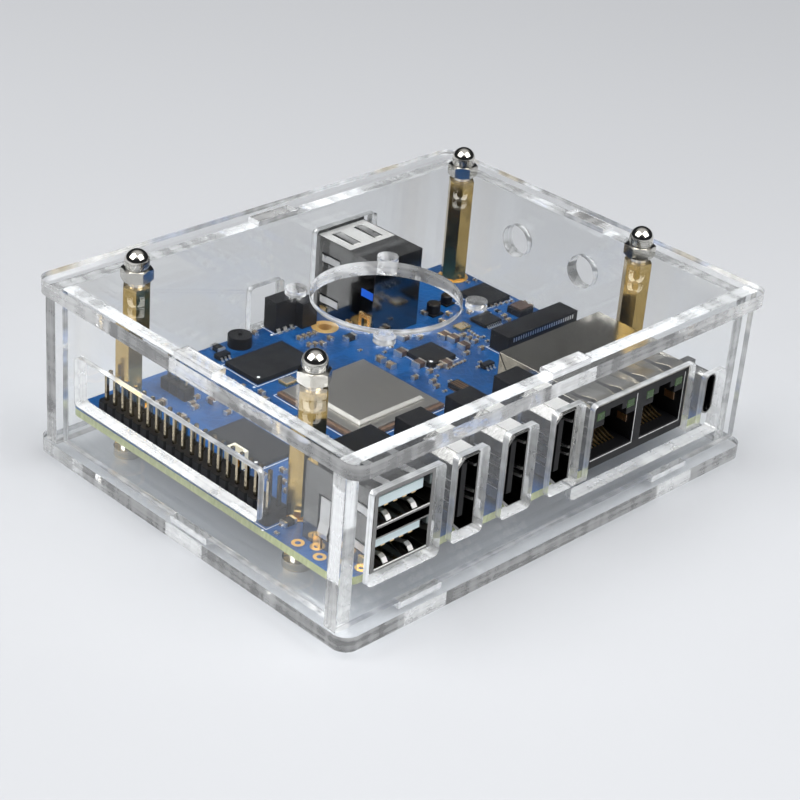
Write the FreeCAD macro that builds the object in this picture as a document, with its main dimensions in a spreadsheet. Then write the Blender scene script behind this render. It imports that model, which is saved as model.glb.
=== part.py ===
import FreeCAD, Part
import math
import os
import re
import Sketcher

# Single board computer in a screwed case of clear laser-cut sheet.
# X runs along the long port side, -Y is that port side, -X is the pin header side, +Z is up.
# The origin is the centre of the case footprint, on the plane of the four screw heads.

# Driving sizes, millimetres
SIZES = {
    # Clear sheets
    "sheet_thickness": 3.0,
    "case_length": 110.4,
    "case_width": 87.8,
    "cover_corner_radius": 3.0,
    "long_wall_inset": 2.8,
    "long_wall_end_gap": 0.4,
    "short_wall_inset": 2.0,
    "board_end_gap": 0.2,
    "board_side_gap": 0.6,
    "tab_length": 10.0,
    "tab_clearance": 0.2,
    "foot_tab_spread": 69.0,
    "window_corner_radius": 1.0,
    # Fan opening in the lid, set off from the processor
    "fan_shift_right": 1.3,
    "fan_shift_front": 3.5,
    "fan_opening_diameter": 28.8,
    "fan_screw_pitch": 24.0,
    "fan_screw_hole": 4.2,
    # Screws, posts and nuts
    "thread_diameter": 3.0,
    "thread_clearance": 0.1,
    "plate_hole_clearance": 0.2,
    "screw_head_diameter": 5.6,
    "screw_head_height": 1.8,
    "screw_length": 6.0,
    "drive_slot_width": 0.9,
    "drive_slot_length": 3.2,
    "drive_slot_depth": 1.0,
    "standoff_across_flats": 5.0,
    "standoff_height": 6.4,
    "standoff_bore_depth": 3.6,
    "standoff_stud_length": 5.0,
    "post_across_flats": 5.0,
    "post_height": 23.0,
    "post_bore_depth": 6.0,
    "post_stud_length": 6.6,
    "nut_across_flats": 5.5,
    "nut_hex_height": 2.5,
    "nut_dome_diameter": 4.8,
    "nut_neck_height": 1.313,
    "dome_turn": 84.0,
    "nut_bore_depth": 4.0,
    "bar_turn": 50.0,
    "nut_turn": 13.0,
    "front_left_nut_turn": 34.0,
    # Circuit board and its holes
    "board_thickness": 1.6,
    "board_corner_radius": 2.0,
    "post_from_left": 9.1,
    "post_from_right": 3.6,
    "post_from_front": 19.7,
    "post_from_rear": 6.0,
    "spare_hole_diameter": 3.0,
    "spare_hole_right": 7.3,
    "spare_hole_from_rear": 7.3,
    # Forty pin header
    "pin_pitch": 2.54,
    "pin_width": 0.64,
    "pin_hole_width": 0.8,
    "pin_height": 8.6,
    "pin_tail": 1.4,
    "header_base_height": 2.54,
    "header_notch": 0.45,
    "header_from_left": 2.23,
    "header_from_rear": 6.06,
    "header_window_front_margin": 0.1,
    "header_window_rear_margin": 1.7,
    "header_window_low": 1.9,
    "header_window_high": 12.3,
    # Ports in common
    "port_overhang": 2.5,
    "shell_wall": 0.35,
    "flange_lip": 0.45,
    # Two-storey bus sockets, low speed in front and high speed at the rear
    "bus_width": 13.4,
    "bus_depth": 16.0,
    "bus_height": 15.7,
    "bus_back_thickness": 4.0,
    "bus_divider": 2.4,
    "bus_sill": 0.6,
    "bus_tongue_width": 11.1,
    "bus_tongue_thickness": 1.9,
    "bus_tongue_drop": 0.7,
    "bus_tongue_setback": 1.2,
    "bus_contact_pitch": 2.2,
    "bus_contact_width": 1.0,
    "bus_contact_thickness": 0.25,
    "bus_left_margin": 4.05,
    "bus_window_side": 1.85,
    "bus_window_below": 1.8,
    "bus_window_above": 1.4,
    "fast_bus_depth": 18.5,
    "fast_bus_overhang": 3.4,
    "fast_bus_from_right": 30.3,
    "fast_window_side": 1.85,
    "fast_window_below": 1.5,
    "fast_window_above": 1.9,
    # Three upright display sockets
    "display_width": 5.6,
    "display_height": 15.0,
    "display_depth": 11.0,
    "display_lift": 0.4,
    "display_chamfer": 1.6,
    "display_back_width": 6.4,
    "display_back_depth": 4.6,
    "display_plug_thickness": 3.0,
    "display_tongue_thickness": 1.3,
    "display_tongue_height": 11.0,
    "display_tongue_setback": 1.0,
    "display_spread": 0.75,
    "display_window_side": 1.2,
    "display_window_below": 1.0,
    "display_window_above": 1.4,
    # Double network socket
    "network_width": 29.0,
    "network_depth": 23.8,
    "network_height": 13.5,
    "network_pitch": 14.3,
    "jack_width": 11.8,
    "jack_floor": 2.2,
    "jack_height": 6.6,
    "jack_depth": 14.0,
    "latch_width": 6.4,
    "latch_height": 1.6,
    "latch_key_width": 3.4,
    "latch_key_height": 1.3,
    "shield_wall": 0.3,
    "jack_contact_pitch": 1.02,
    "jack_contact_width": 0.4,
    "jack_contact_length": 10.5,
    "jack_contact_slope": 22.0,
    "lamp_width": 2.2,
    "lamp_height": 1.7,
    "lamp_depth": 1.2,
    "lamp_inset": 0.5,
    "lamp_drop": 1.4,
    "network_window_side": 0.3,
    "network_window_above": 1.0,
    # Upright power socket
    "power_width": 3.2,
    "power_height": 8.9,
    "power_depth": 7.6,
    "power_lift": 0.2,
    "power_right_margin": 2.1,
    "power_tongue_thickness": 0.7,
    "power_tongue_height": 6.6,
    "power_tongue_setback": 1.0,
    "power_back_width": 4.4,
    "power_back_thickness": 2.0,
    "power_window_side": 1.55,
    "power_window_above": 0.9,
    # Recess below the network and power ports
    "recess_left_of_shield": 4.5,
    "recess_low": 4.25,
    # Small sockets and parts at the rear edge
    "sound_width": 5.4,
    "sound_depth": 3.6,
    "sound_height": 6.7,
    "sound_overhang": 0.4,
    "sound_centre_left": 0.1,
    "sound_hole_diameter": 3.4,
    "sound_hole_depth": 2.4,
    "sound_window_width": 9.0,
    "sound_window_shift_left": 1.7,
    "sound_window_below": 0.7,
    "sound_window_high": 9.3,
    "buzzer_diameter": 5.0,
    "buzzer_height": 2.4,
    "buzzer_hole": 1.0,
    "buzzer_centre_left": 12.1,
    "buzzer_from_rear": 2.9,
    "receiver_width": 4.0,
    "receiver_depth": 3.0,
    "receiver_height": 5.6,
    "receiver_centre_right": 4.8,
    "receiver_from_rear": 2.2,
    "receiver_lens_diameter": 3.0,
    # Card socket
    "card_width": 21.2,
    "card_depth": 5.1,
    "card_height": 4.2,
    "card_from_right": 0.2,
    "card_centre_rear": 0.95,
    "card_slot_width": 19.6,
    "card_slot_depth": 3.6,
    "card_slot_height": 1.1,
    "card_slot_lift": 1.9,
    # Two-way cable socket
    "cable_width": 4.2,
    "cable_length": 3.9,
    "cable_height": 3.6,
    "cable_wall": 0.5,
    "cable_from_left": 9.6,
    "cable_centre_rear": 1.3,
    # Processor
    "processor_side": 23.0,
    "processor_base_thickness": 0.8,
    "processor_cap_side": 21.6,
    "processor_flange_thickness": 0.5,
    "processor_plateau_side": 17.4,
    "processor_plateau_height": 1.0,
    "processor_plateau_slope": 0.6,
    "processor_mark_diameter": 1.1,
    "processor_mark_inset": 1.1,
    "processor_from_left": 41.6,
    "processor_rear_share": 0.256,
    # Memory and other chips
    "memory_long": 15.0,
    "memory_short": 10.0,
    "memory_thickness": 1.0,
    "rear_memory_shift_left": 4.2,
    "rear_memory_margin": 7.8,
    "side_memory_from_left": 17.0,
    "side_memory_rear": 5.2,
    "regulator_side": 7.2,
    "regulator_thickness": 0.9,
    "regulator_right": 15.8,
    "regulator_rear": 7.7,
    "bridge_side": 7.8,
    "bridge_thickness": 0.9,
    "bridge_from_right": 5.4,
    "bridge_from_rear": 17.3,
    # Antenna holes in the right wall
    "antenna_hole_diameter": 7.0,
    "antenna_hole_pitch": 18.6,
    "antenna_hole_rear": 8.8,
    "antenna_hole_height": 12.5,
}

# How many of each there are, and how finely hidden threads and the nut domes are drawn
PIN_ROWS = 20
DISPLAY_COUNT = 3
BUS_CONTACTS = 4
JACK_CONTACTS = 8
THREAD_SIDES = 12
DOME_BANDS = 3
SAME_HEIGHT = 1e-6

# Places that follow from the sizes
PLACES = {
    "base_low": "screw_head_height",
    "base_high": "base_low + sheet_thickness",
    "board_low": "base_high + standoff_height",
    "board_high": "board_low + board_thickness",
    "lid_low": "board_high + post_height",
    "lid_high": "lid_low + sheet_thickness",
    "long_wall_outer": "case_width / 2 - long_wall_inset",
    "long_wall_inner": "long_wall_outer - sheet_thickness",
    "long_wall_half": "case_length / 2 - long_wall_end_gap",
    "short_wall_outer": "case_length / 2 - short_wall_inset",
    "short_wall_inner": "short_wall_outer - sheet_thickness",
    "board_right": "short_wall_inner - board_end_gap",
    "board_rear": "long_wall_inner - board_side_gap",
    "plate_hole": "thread_diameter + plate_hole_clearance",
    "post_left": "post_from_left - board_right",
    "post_right": "board_right - post_from_right",
    "post_front": "post_from_front - board_rear",
    "post_rear": "board_rear - post_from_rear",
    "header_outer": "header_from_left - board_right",
    "header_inner": "header_outer + pin_pitch",
    "header_first": "board_rear - header_from_rear",
    "header_rear": "header_first + pin_pitch / 2",
    "port_mouth": "-board_rear - port_overhang",
    "fast_mouth": "board_rear + fast_bus_overhang",
    "fast_x": "board_right - fast_bus_from_right",
    "port_widths": f"bus_width + {DISPLAY_COUNT} * display_back_width + network_width + power_back_width",
    "port_gap": "(2 * board_right - bus_left_margin - power_right_margin - port_widths)"
                f" / ({DISPLAY_COUNT} + 2)",
    "bus_x": "bus_left_margin - board_right + bus_width / 2",
    "display_x": "bus_x + bus_width / 2 + port_gap + display_back_width / 2",
    "display_pitch": "display_back_width + port_gap + display_spread",
    "network_left": "bus_x + bus_width / 2 + port_gap"
                    f" + {DISPLAY_COUNT} * (port_gap + display_back_width)",
    "network_right": "network_left + network_width",
    "network_x": "network_left + network_width / 2",
    "power_x": "board_right - power_right_margin - power_back_width / 2",
    "memory_front": "board_rear - rear_memory_margin - memory_short",
    "display_rear": "port_mouth + display_depth + display_back_depth",
    "processor_room": "memory_front - display_rear - processor_side",
    "processor_x": "processor_from_left - board_right",
    "processor_y": "memory_front - processor_rear_share * processor_room - processor_side / 2",
    "fan_x": "processor_x + fan_shift_right",
    "fan_y": "processor_y - fan_shift_front",
    "ledge": "board_high - display_window_below",
}

CORNERS = [(across, along) for across in ("post_left", "post_right")
           for along in ("post_front", "post_rear")]

doc = FreeCAD.newDocument("single_board_computer_case")
sheet = doc.addObject("Spreadsheet::Sheet", "sizes")
for row, (alias, size) in enumerate(SIZES.items(), start=1):
    sheet.set(f"A{row}", alias)
    sheet.set(f"B{row}", str(size))
    sheet.setAlias(f"B{row}", alias)
doc.recompute()

nodes = []


# Binding to the sheet

def expand(formula):
    """Formula in plain size names, written out for the sheet."""
    def word(match):
        name = match.group(0)
        if name in PLACES:
            return "(" + expand(PLACES[name]) + ")"
        if name in SIZES:
            return "sizes." + name
        return name
    return re.sub(r"[a-z][a-z_]+", word, str(formula))


def value(formula):
    """Present number of a formula."""
    return float(sheet.evalExpression(expand(formula)))


def bind(item, setting, formula):
    """Tie one setting of an object to the sheet."""
    item.setExpression(setting, expand(formula))


def node(item, label):
    """Register an object as one finished sub-part."""
    item.Label = label
    nodes.append(item)
    return item


def middle(centre, width):
    """Two limits of a width laid evenly about a centre."""
    return (f"({centre}) - ({width}) / 2", f"({centre}) + ({width}) / 2")


def inward(mouth, facing, start, end):
    """Limits between two depths behind a mouth that faces -Y (-1) or +Y (+1)."""
    if facing < 0:
        return (f"({mouth}) + ({start})", f"({mouth}) + ({end})")
    return (f"({mouth}) - ({end})", f"({mouth}) - ({start})")


# Primitives and booleans

def box(name, x, y, z):
    """Block between two limits on each axis."""
    block = doc.addObject("Part::Box", name)
    for axis, side, (low, high) in zip("xyz", ("Length", "Width", "Height"), (x, y, z)):
        bind(block, side, f"({high}) - ({low})")
        bind(block, "Placement.Base." + axis, low)
    return block


def rod(name, x, y, z, diameter):
    """Upright cylinder between two heights."""
    turned = doc.addObject("Part::Cylinder", name)
    bind(turned, "Radius", f"({diameter}) / 2")
    bind(turned, "Height", f"({z[1]}) - ({z[0]})")
    for axis, place in zip("xyz", (x, y, z[0])):
        bind(turned, "Placement.Base." + axis, place)
    return turned


def cross_rod(name, x, y, z, diameter):
    """Cylinder lying along Y between two limits."""
    turned = doc.addObject("Part::Cylinder", name)
    turned.Placement.Rotation = FreeCAD.Rotation(FreeCAD.Vector(1, 0, 0), -90)
    bind(turned, "Radius", f"({diameter}) / 2")
    bind(turned, "Height", f"({y[1]}) - ({y[0]})")
    for axis, place in zip("xyz", (x, y[0], z)):
        bind(turned, "Placement.Base." + axis, place)
    return turned


def prism(name, sides, x, y, z, across_corners):
    """Upright bar of equal sides between two heights."""
    bar = doc.addObject("Part::Prism", name)
    bar.Polygon = sides
    bind(bar, "Circumradius", f"({across_corners}) / 2")
    bind(bar, "Height", f"({z[1]}) - ({z[0]})")
    for axis, place in zip("xyz", (x, y, z[0])):
        bind(bar, "Placement.Base." + axis, place)
    return bar


def hexagon(name, x, y, z, across_flats, turn):
    """Upright hexagonal bar between two heights, turned about its own axis."""
    bar = prism(name, 6, x, y, z, f"({across_flats}) / cos(30 deg)")
    bind(bar, "Placement.Rotation.Angle", turn)
    return bar


def thread(name, x, y, z, diameter):
    """Threaded stud or bore, drawn as a bar of many sides."""
    return prism(name, THREAD_SIDES, x, y, z, diameter)


def fuse(name, *pieces):
    """One solid out of pieces that meet."""
    joined = doc.addObject("Part::MultiFuse", name)
    joined.Shapes = list(pieces)
    joined.Refine = True
    return joined


def cut(name, base, *tools):
    """Base with each tool taken away."""
    removed = base
    for count, tool in enumerate(tools, start=1):
        step = doc.addObject("Part::Cut", name if count == len(tools) else f"{name}_{count}")
        step.Base = removed
        step.Tool = tool
        removed = step
    return removed


def group(name, pieces):
    """Separate solids of one kind kept together."""
    bundle = doc.addObject("Part::Compound", name)
    bundle.Links = pieces
    return bundle


# Bodies made from sketches

def new_body(label):
    body = doc.addObject("PartDesign::Body", label)
    return node(body, label)


def new_sketch(body, name, role, offset):
    """Sketch on one of the body's own origin planes, moved along that plane's normal."""
    sketch = body.newObject("Sketcher::SketchObject", name)
    plane = next(item for item in body.Origin.OriginFeatures if item.Role == role)
    sketch.AttachmentSupport = [(plane, "")]
    sketch.MapMode = "FlatFace"
    bind(sketch, "AttachmentOffset.Base.z", offset)
    return sketch


def hold(sketch, rules):
    """Add measured constraints, each a kind, its geometry and a formula."""
    made = [Sketcher.Constraint(kind, *where, value(formula)) for kind, where, formula in rules]
    numbers = sketch.addConstraint(made)
    for number, (kind, where, formula) in zip(numbers, rules):
        bind(sketch, f"Constraints[{number}]", formula)


def point_rules(geometry, point, across, up):
    """Rules that hold one sketch point at two formulas from the origin."""
    return [("DistanceX", (-1, 1, geometry, point), across), ("DistanceY", (-1, 1, geometry, point), up)]


def outline(sketch, corners):
    """Closed line through corners, each held by formulas."""
    first = sketch.GeometryCount
    places = [FreeCAD.Vector(value(across), value(up), 0) for across, up in corners]
    following = places[1:] + places[:1]
    sketch.addGeometry([Part.LineSegment(*ends) for ends in zip(places, following)], False)
    lines = range(first, first + len(corners))
    meetings = zip(lines, [*lines[1:], first])
    sketch.addConstraint([Sketcher.Constraint("Coincident", before, 2, after, 1)
                          for before, after in meetings])
    rules = []
    for number, (across, up) in enumerate(corners):
        rules += point_rules(first + number, 1, across, up)
    hold(sketch, rules)


def rectangle(sketch, across, up):
    """Rectangle between two limits each way."""
    (left, right), (low, high) = across, up
    outline(sketch, [(left, low), (right, low), (right, high), (left, high)])


def rounded_rectangle(sketch, across, up, radius, low_corners=True, high_corners=True):
    """Rectangle between two limits each way, with its low or high corners rounded."""
    (left, right), (low, high) = across, up
    corners = [(left, low, low_corners), (right, low, low_corners),
               (right, high, high_corners), (left, high, high_corners)]
    ways = [FreeCAD.Vector(*way) for way in ((1, 0, 0), (0, 1, 0), (-1, 0, 0), (0, -1, 0))]
    size = value(radius)
    starts, ends, arcs = [], [], []
    for number, (x, y, is_round) in enumerate(corners):
        corner = FreeCAD.Vector(value(x), value(y), 0)
        reach = size if is_round else 0
        ends.append(corner - ways[number - 1] * reach)
        starts.append(corner + ways[number] * reach)
    lines = [sketch.addGeometry(Part.LineSegment(starts[number], ends[(number + 1) % 4]), False)
             for number in range(4)]
    rules, links = [], []
    for number, (x, y, is_round) in enumerate(corners):
        before, after = lines[number - 1], lines[number]
        if is_round:
            centre = ends[number] + ways[number] * size
            turn = math.radians(90 * number - 180)
            ring = Part.Circle(centre, FreeCAD.Vector(0, 0, 1), size)
            arc = sketch.addGeometry(Part.ArcOfCircle(ring, turn, turn + math.pi / 2), False)
            links.append(Sketcher.Constraint("Tangent", before, 2, arc, 1))
            links.append(Sketcher.Constraint("Tangent", arc, 2, after, 1))
            rules.append(("Radius", (arc,), radius))
        else:
            links.append(Sketcher.Constraint("Coincident", before, 2, after, 1))
        level = number % 2 == 0
        links.append(Sketcher.Constraint("Horizontal" if level else "Vertical", after))
        rules.append(("DistanceY" if level else "DistanceX", (-1, 1, after, 1), y if level else x))
    sketch.addConstraint(links)
    hold(sketch, rules)


def circle(sketch, across, up, diameter):
    """Circle held at its centre and its diameter."""
    centre = FreeCAD.Vector(value(across), value(up), 0)
    ring = sketch.addGeometry(Part.Circle(centre, FreeCAD.Vector(0, 0, 1), value(diameter) / 2), False)
    hold(sketch, point_rules(ring, 3, across, up) + [("Diameter", (ring,), diameter)])


def thread_hole(sketch, across, up):
    """Hole for a threaded stud, drawn with as many sides as the stud."""
    turns = [360 * side / THREAD_SIDES for side in range(THREAD_SIDES)]
    outline(sketch, [(f"{across} + plate_hole / 2 * cos({turn} deg)",
                      f"{up} + plate_hole / 2 * sin({turn} deg)") for turn in turns])


def pad(body, sketch, thickness):
    """Material grown from a sketch along its normal."""
    grown = body.newObject("PartDesign::Pad", sketch.Name + "_pad")
    grown.Profile = sketch
    bind(grown, "Length", thickness)
    sketch.Visibility = False
    doc.recompute()
    return grown


def pocket(body, sketch, depth):
    """Material taken away from a sketch along its normal."""
    before = body.Shape.Volume
    taken = body.newObject("PartDesign::Pocket", sketch.Name + "_pocket")
    taken.Profile = sketch
    taken.Reversed = True
    bind(taken, "Length", depth)
    doc.recompute()
    if body.Shape.Volume >= before:
        raise RuntimeError(sketch.Name + " cuts nothing")
    return taken


def repeat(body, name, originals, sketch, count, pitch):
    """Copies of features in a row toward -Y, from the sketch's upright axis."""
    row = body.newObject("PartDesign::LinearPattern", name)
    row.Originals = originals
    row.Direction = (sketch, ["V_Axis"])
    row.Reversed = True
    row.Occurrences = count
    bind(row, "Length", f"{count - 1} * {pitch}")
    body.Tip = row
    doc.recompute()
    return row


# Clear sheets

def cover_slots(sketch, long_places):
    """Slots for the tabs of the four walls, with those of the long walls at given places."""
    slot = "tab_length + 2 * tab_clearance"
    for side in (-1, 1):
        across = f"{side} * (long_wall_outer - sheet_thickness / 2)"
        for place in long_places:
            rectangle(sketch, middle(place, slot), middle(across, "sheet_thickness + tab_clearance"))
        along = f"{side} * (short_wall_outer - sheet_thickness / 2)"
        rectangle(sketch, middle(along, "sheet_thickness + tab_clearance"), middle("0", slot))


def cover(label, level, long_places):
    """Flat cover with wall slots, post holes and round corners."""
    body = new_body(label)
    blank = new_sketch(body, label + "_blank", "XY_Plane", level)
    rounded_rectangle(blank, middle("0", "case_length"), middle("0", "case_width"), "cover_corner_radius")
    pad(body, blank, "sheet_thickness")
    slots = new_sketch(body, label + "_slots", "XY_Plane", level)
    cover_slots(slots, long_places)
    for across, along in CORNERS:
        thread_hole(slots, across, along)
    pocket(body, slots, "sheet_thickness")
    return body


def make_bottom_plate():
    cover("bottom_plate", "base_low", ("-foot_tab_spread / 2", "foot_tab_spread / 2"))


def make_lid():
    """Top cover with a round fan opening and its four screw holes."""
    body = cover("lid", "lid_low", ("0",))
    fan = new_sketch(body, "fan_opening", "XY_Plane", "lid_low")
    circle(fan, "fan_x", "fan_y", "fan_opening_diameter")
    for side in (-1, 1):
        for end in (-1, 1):
            circle(fan, f"fan_x + {side} * fan_screw_pitch / 2",
                   f"fan_y + {end} * fan_screw_pitch / 2", "fan_screw_hole")
    pocket(body, fan, "sheet_thickness")


def wall(label, role, offset, half_length, foot_places):
    """Upright sheet between the covers, with one tab above and tabs below."""
    body = new_body(label)
    blank = new_sketch(body, label + "_blank", role, offset)
    rectangle(blank, (f"-({half_length})", half_length), ("base_high", "lid_low"))
    pad(body, blank, "sheet_thickness")
    tabs = new_sketch(body, label + "_tabs", role, offset)
    rectangle(tabs, middle("0", "tab_length"), ("lid_low", "lid_high"))
    for place in foot_places:
        rectangle(tabs, middle(place, "tab_length"), ("base_low", "base_high"))
    pad(body, tabs, "sheet_thickness")
    return body


def open_window(body, name, role, offset, across, up, low_corners=True, high_corners=True):
    """Window through a wall, with laser-cut round corners."""
    window = new_sketch(body, name, role, offset)
    rounded_rectangle(window, across, up, "window_corner_radius", low_corners, high_corners)
    pocket(body, window, "sheet_thickness")


def make_front_plate():
    """Long wall with the windows of all the front ports."""
    role, offset = "XZ_Plane", "long_wall_inner"
    body = wall("front_plate", role, offset, "long_wall_half",
                ("-foot_tab_spread / 2", "foot_tab_spread / 2"))
    open_window(body, "bus_window", role, offset, middle("bus_x", "bus_width + 2 * bus_window_side"),
                ("board_high - bus_window_below", "board_high + bus_height + bus_window_above"))
    for number in range(DISPLAY_COUNT):
        open_window(body, f"display_window_{number + 1}", role, offset,
                    middle(f"display_x + {number} * display_pitch",
                           "display_width + 2 * display_window_side"),
                    ("ledge", "board_high + display_lift + display_height + display_window_above"))
    open_window(body, "network_window", role, offset,
                middle("network_x", "network_width + 2 * network_window_side"),
                ("ledge", "board_high + network_height + network_window_above"), low_corners=False)
    power_window = middle("power_x", "power_width + 2 * power_window_side")
    open_window(body, "power_window", role, offset, power_window,
                ("ledge", "board_high + power_lift + power_height + power_window_above"),
                low_corners=False)
    open_window(body, "port_recess", role, offset,
                ("network_left - recess_left_of_shield", power_window[1]),
                ("board_high - recess_low", "ledge"), high_corners=False)


def make_rear_plate():
    """Long wall with the windows of the sound socket and the fast bus sockets."""
    role, offset = "XZ_Plane", "-long_wall_outer"
    body = wall("rear_plate", role, offset, "long_wall_half",
                ("-foot_tab_spread / 2", "foot_tab_spread / 2"))
    open_window(body, "sound_window", role, offset,
                middle("-sound_centre_left - sound_window_shift_left", "sound_window_width"),
                ("board_high - sound_window_below", "board_high + sound_window_high"))
    open_window(body, "fast_window", role, offset,
                middle("fast_x", "bus_width + 2 * fast_window_side"),
                ("board_high - fast_window_below", "board_high + bus_height + fast_window_above"))


def make_left_plate():
    """Short wall with the window over the pin header."""
    role, offset = "YZ_Plane", "-short_wall_outer"
    body = wall("left_plate", role, offset, "long_wall_inner", ("0",))
    open_window(body, "header_window", role, offset,
                (f"header_rear - {PIN_ROWS} * pin_pitch - header_window_front_margin",
                 "header_rear + header_window_rear_margin"),
                ("board_high + header_window_low", "board_high + header_window_high"))


def make_right_plate():
    """Short wall with two round antenna holes."""
    role, offset = "YZ_Plane", "short_wall_inner"
    body = wall("right_plate", role, offset, "long_wall_inner", ("0",))
    holes = new_sketch(body, "antenna_holes", role, offset)
    for side in (-1, 1):
        circle(holes, f"antenna_hole_rear + {side} * antenna_hole_pitch / 2",
               "board_high + antenna_hole_height", "antenna_hole_diameter")
    pocket(body, holes, "sheet_thickness")


# Screws, posts and nuts at the four corners

def make_bottom_screws():
    """Pan head screws with a cross recess, heads on the underside of the bottom plate."""
    screws = []
    for number, (x, y) in enumerate(CORNERS, start=1):
        name = f"screw_{number}"
        head = rod(name + "_head", x, y, ("0", "base_low"), "screw_head_diameter")
        shank = thread(name + "_shank", x, y, ("base_low", "base_low + screw_length"),
                       "thread_diameter")
        slots = [box(f"{name}_slot_{turn}", middle(x, wide), middle(y, deep), ("0", "drive_slot_depth"))
                 for turn, (wide, deep) in enumerate((("drive_slot_length", "drive_slot_width"),
                                                      ("drive_slot_width", "drive_slot_length")))]
        screws.append(cut(name, fuse(name + "_blank", head, shank), *slots))
    node(group("bottom_screws", screws), "bottom_screws")


def make_lower_standoffs():
    """Short hexagonal standoffs that carry the board, threaded stud upward."""
    standoffs = []
    for number, (x, y) in enumerate(CORNERS, start=1):
        name = f"standoff_{number}"
        bar = hexagon(name + "_hex", x, y, ("base_high", "board_low"), "standoff_across_flats",
                      "bar_turn")
        stud = thread(name + "_stud", x, y, ("board_low", "board_low + standoff_stud_length"),
                      "thread_diameter")
        bore = thread(name + "_bore", x, y, ("base_high", "base_high + standoff_bore_depth"),
                      "thread_diameter + thread_clearance")
        standoffs.append(cut(name, fuse(name + "_blank", bar, stud), bore))
    node(group("lower_standoffs", standoffs), "lower_standoffs")


def make_upper_posts():
    """Long hexagonal posts from the board to the lid, threaded stud through the lid."""
    posts = []
    for number, (x, y) in enumerate(CORNERS, start=1):
        name = f"post_{number}"
        bar = hexagon(name + "_hex", x, y, ("board_high", "lid_low"), "post_across_flats", "bar_turn")
        stud = thread(name + "_stud", x, y, ("lid_low", "lid_low + post_stud_length"),
                      "thread_diameter")
        bore = thread(name + "_bore", x, y, ("board_high", "board_high + post_bore_depth"),
                      "thread_diameter + thread_clearance")
        posts.append(cut(name, fuse(name + "_blank", bar, stud), bore))
    node(group("upper_posts", posts), "upper_posts")


def dome(name, x, y, low):
    """Round top of a cap nut in level bands, with a small flat on top."""
    bands = []
    rims = [f"dome_turn * {number} / {DOME_BANDS} * 1 deg" for number in range(DOME_BANDS + 1)]
    for number, (lower, upper) in enumerate(zip(rims, rims[1:]), start=1):
        band = doc.addObject("Part::Cone", f"{name}_{number}")
        bind(band, "Radius1", f"nut_dome_diameter / 2 * cos({lower})")
        bind(band, "Radius2", f"nut_dome_diameter / 2 * cos({upper})")
        bind(band, "Height", f"nut_dome_diameter / 2 * (sin({upper}) - sin({lower}))")
        for axis, place in zip("xyz", (x, y, f"{low} + nut_dome_diameter / 2 * sin({lower})")):
            bind(band, "Placement.Base." + axis, place)
        bands.append(band)
    return bands


def make_cap_nuts():
    """Domed cap nuts on the lid."""
    nuts = []
    for number, (x, y) in enumerate(CORNERS, start=1):
        name = f"nut_{number}"
        neck_low = "lid_high + nut_hex_height"
        neck_high = neck_low + " + nut_neck_height"
        turn = "front_left_nut_turn" if number == 1 else "nut_turn"
        flats = hexagon(name + "_hex", x, y, ("lid_high", neck_low), "nut_across_flats", turn)
        neck = rod(name + "_neck", x, y, (neck_low, neck_high), "nut_dome_diameter")
        bore = thread(name + "_bore", x, y, ("lid_high", "lid_high + nut_bore_depth"),
                      "thread_diameter + thread_clearance")
        top = dome(name + "_dome", x, y, neck_high)
        nuts.append(cut(name, fuse(name + "_blank", flats, neck, *top), bore))
    node(group("cap_nuts", nuts), "cap_nuts")


# Circuit board

def pin_places():
    """Centres of the header pins, outer row first."""
    for row in range(PIN_ROWS):
        for across in ("header_outer", "header_inner"):
            yield across, f"header_first - {row} * pin_pitch"


def make_circuit_board():
    """Board with round corners, post holes, one spare hole and the header's pin holes."""
    body = new_body("circuit_board")
    blank = new_sketch(body, "board_blank", "XY_Plane", "board_low")
    rounded_rectangle(blank, ("-board_right", "board_right"), ("-board_rear", "board_rear"),
                      "board_corner_radius")
    pad(body, blank, "board_thickness")
    holes = new_sketch(body, "board_holes", "XY_Plane", "board_low")
    for across, along in CORNERS:
        thread_hole(holes, across, along)
    circle(holes, "spare_hole_right", "board_rear - spare_hole_from_rear", "spare_hole_diameter")
    pocket(body, holes, "board_thickness")
    pair = new_sketch(body, "pin_holes", "XY_Plane", "board_low")
    for across in ("header_outer", "header_inner"):
        rectangle(pair, middle(across, "pin_hole_width"), middle("header_first", "pin_hole_width"))
    first = pocket(body, pair, "board_thickness")
    repeat(body, "pin_hole_rows", [first], pair, PIN_ROWS, "pin_pitch")


def make_header():
    """Two rows of square pins in a notched base."""
    body = new_body("header_base")
    first = new_sketch(body, "header_cell", "XY_Plane", "board_high")
    left, right = "header_outer - pin_pitch / 2", "header_inner + pin_pitch / 2"
    low, high = "header_rear - pin_pitch", "header_rear"
    outline(first, [(left, f"{low} + header_notch"), (f"{left} + header_notch", low),
                    (f"{right} - header_notch", low), (right, f"{low} + header_notch"),
                    (right, f"{high} - header_notch"), (f"{right} - header_notch", high),
                    (f"{left} + header_notch", high), (left, f"{high} - header_notch")])
    cell = pad(body, first, "header_base_height")
    pair = new_sketch(body, "header_bores", "XY_Plane", "board_high")
    for across in ("header_outer", "header_inner"):
        rectangle(pair, middle(across, "pin_width"), middle("header_first", "pin_width"))
    bores = pocket(body, pair, "header_base_height")
    repeat(body, "header_cells", [cell, bores], first, PIN_ROWS, "pin_pitch")
    pins = [box(f"pin_{number}", middle(across, "pin_width"), middle(along, "pin_width"),
                ("board_low - pin_tail", "board_high + pin_height"))
            for number, (across, along) in enumerate(pin_places(), start=1)]
    node(group("header_pins", pins), "header_pins")


# Ports

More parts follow.
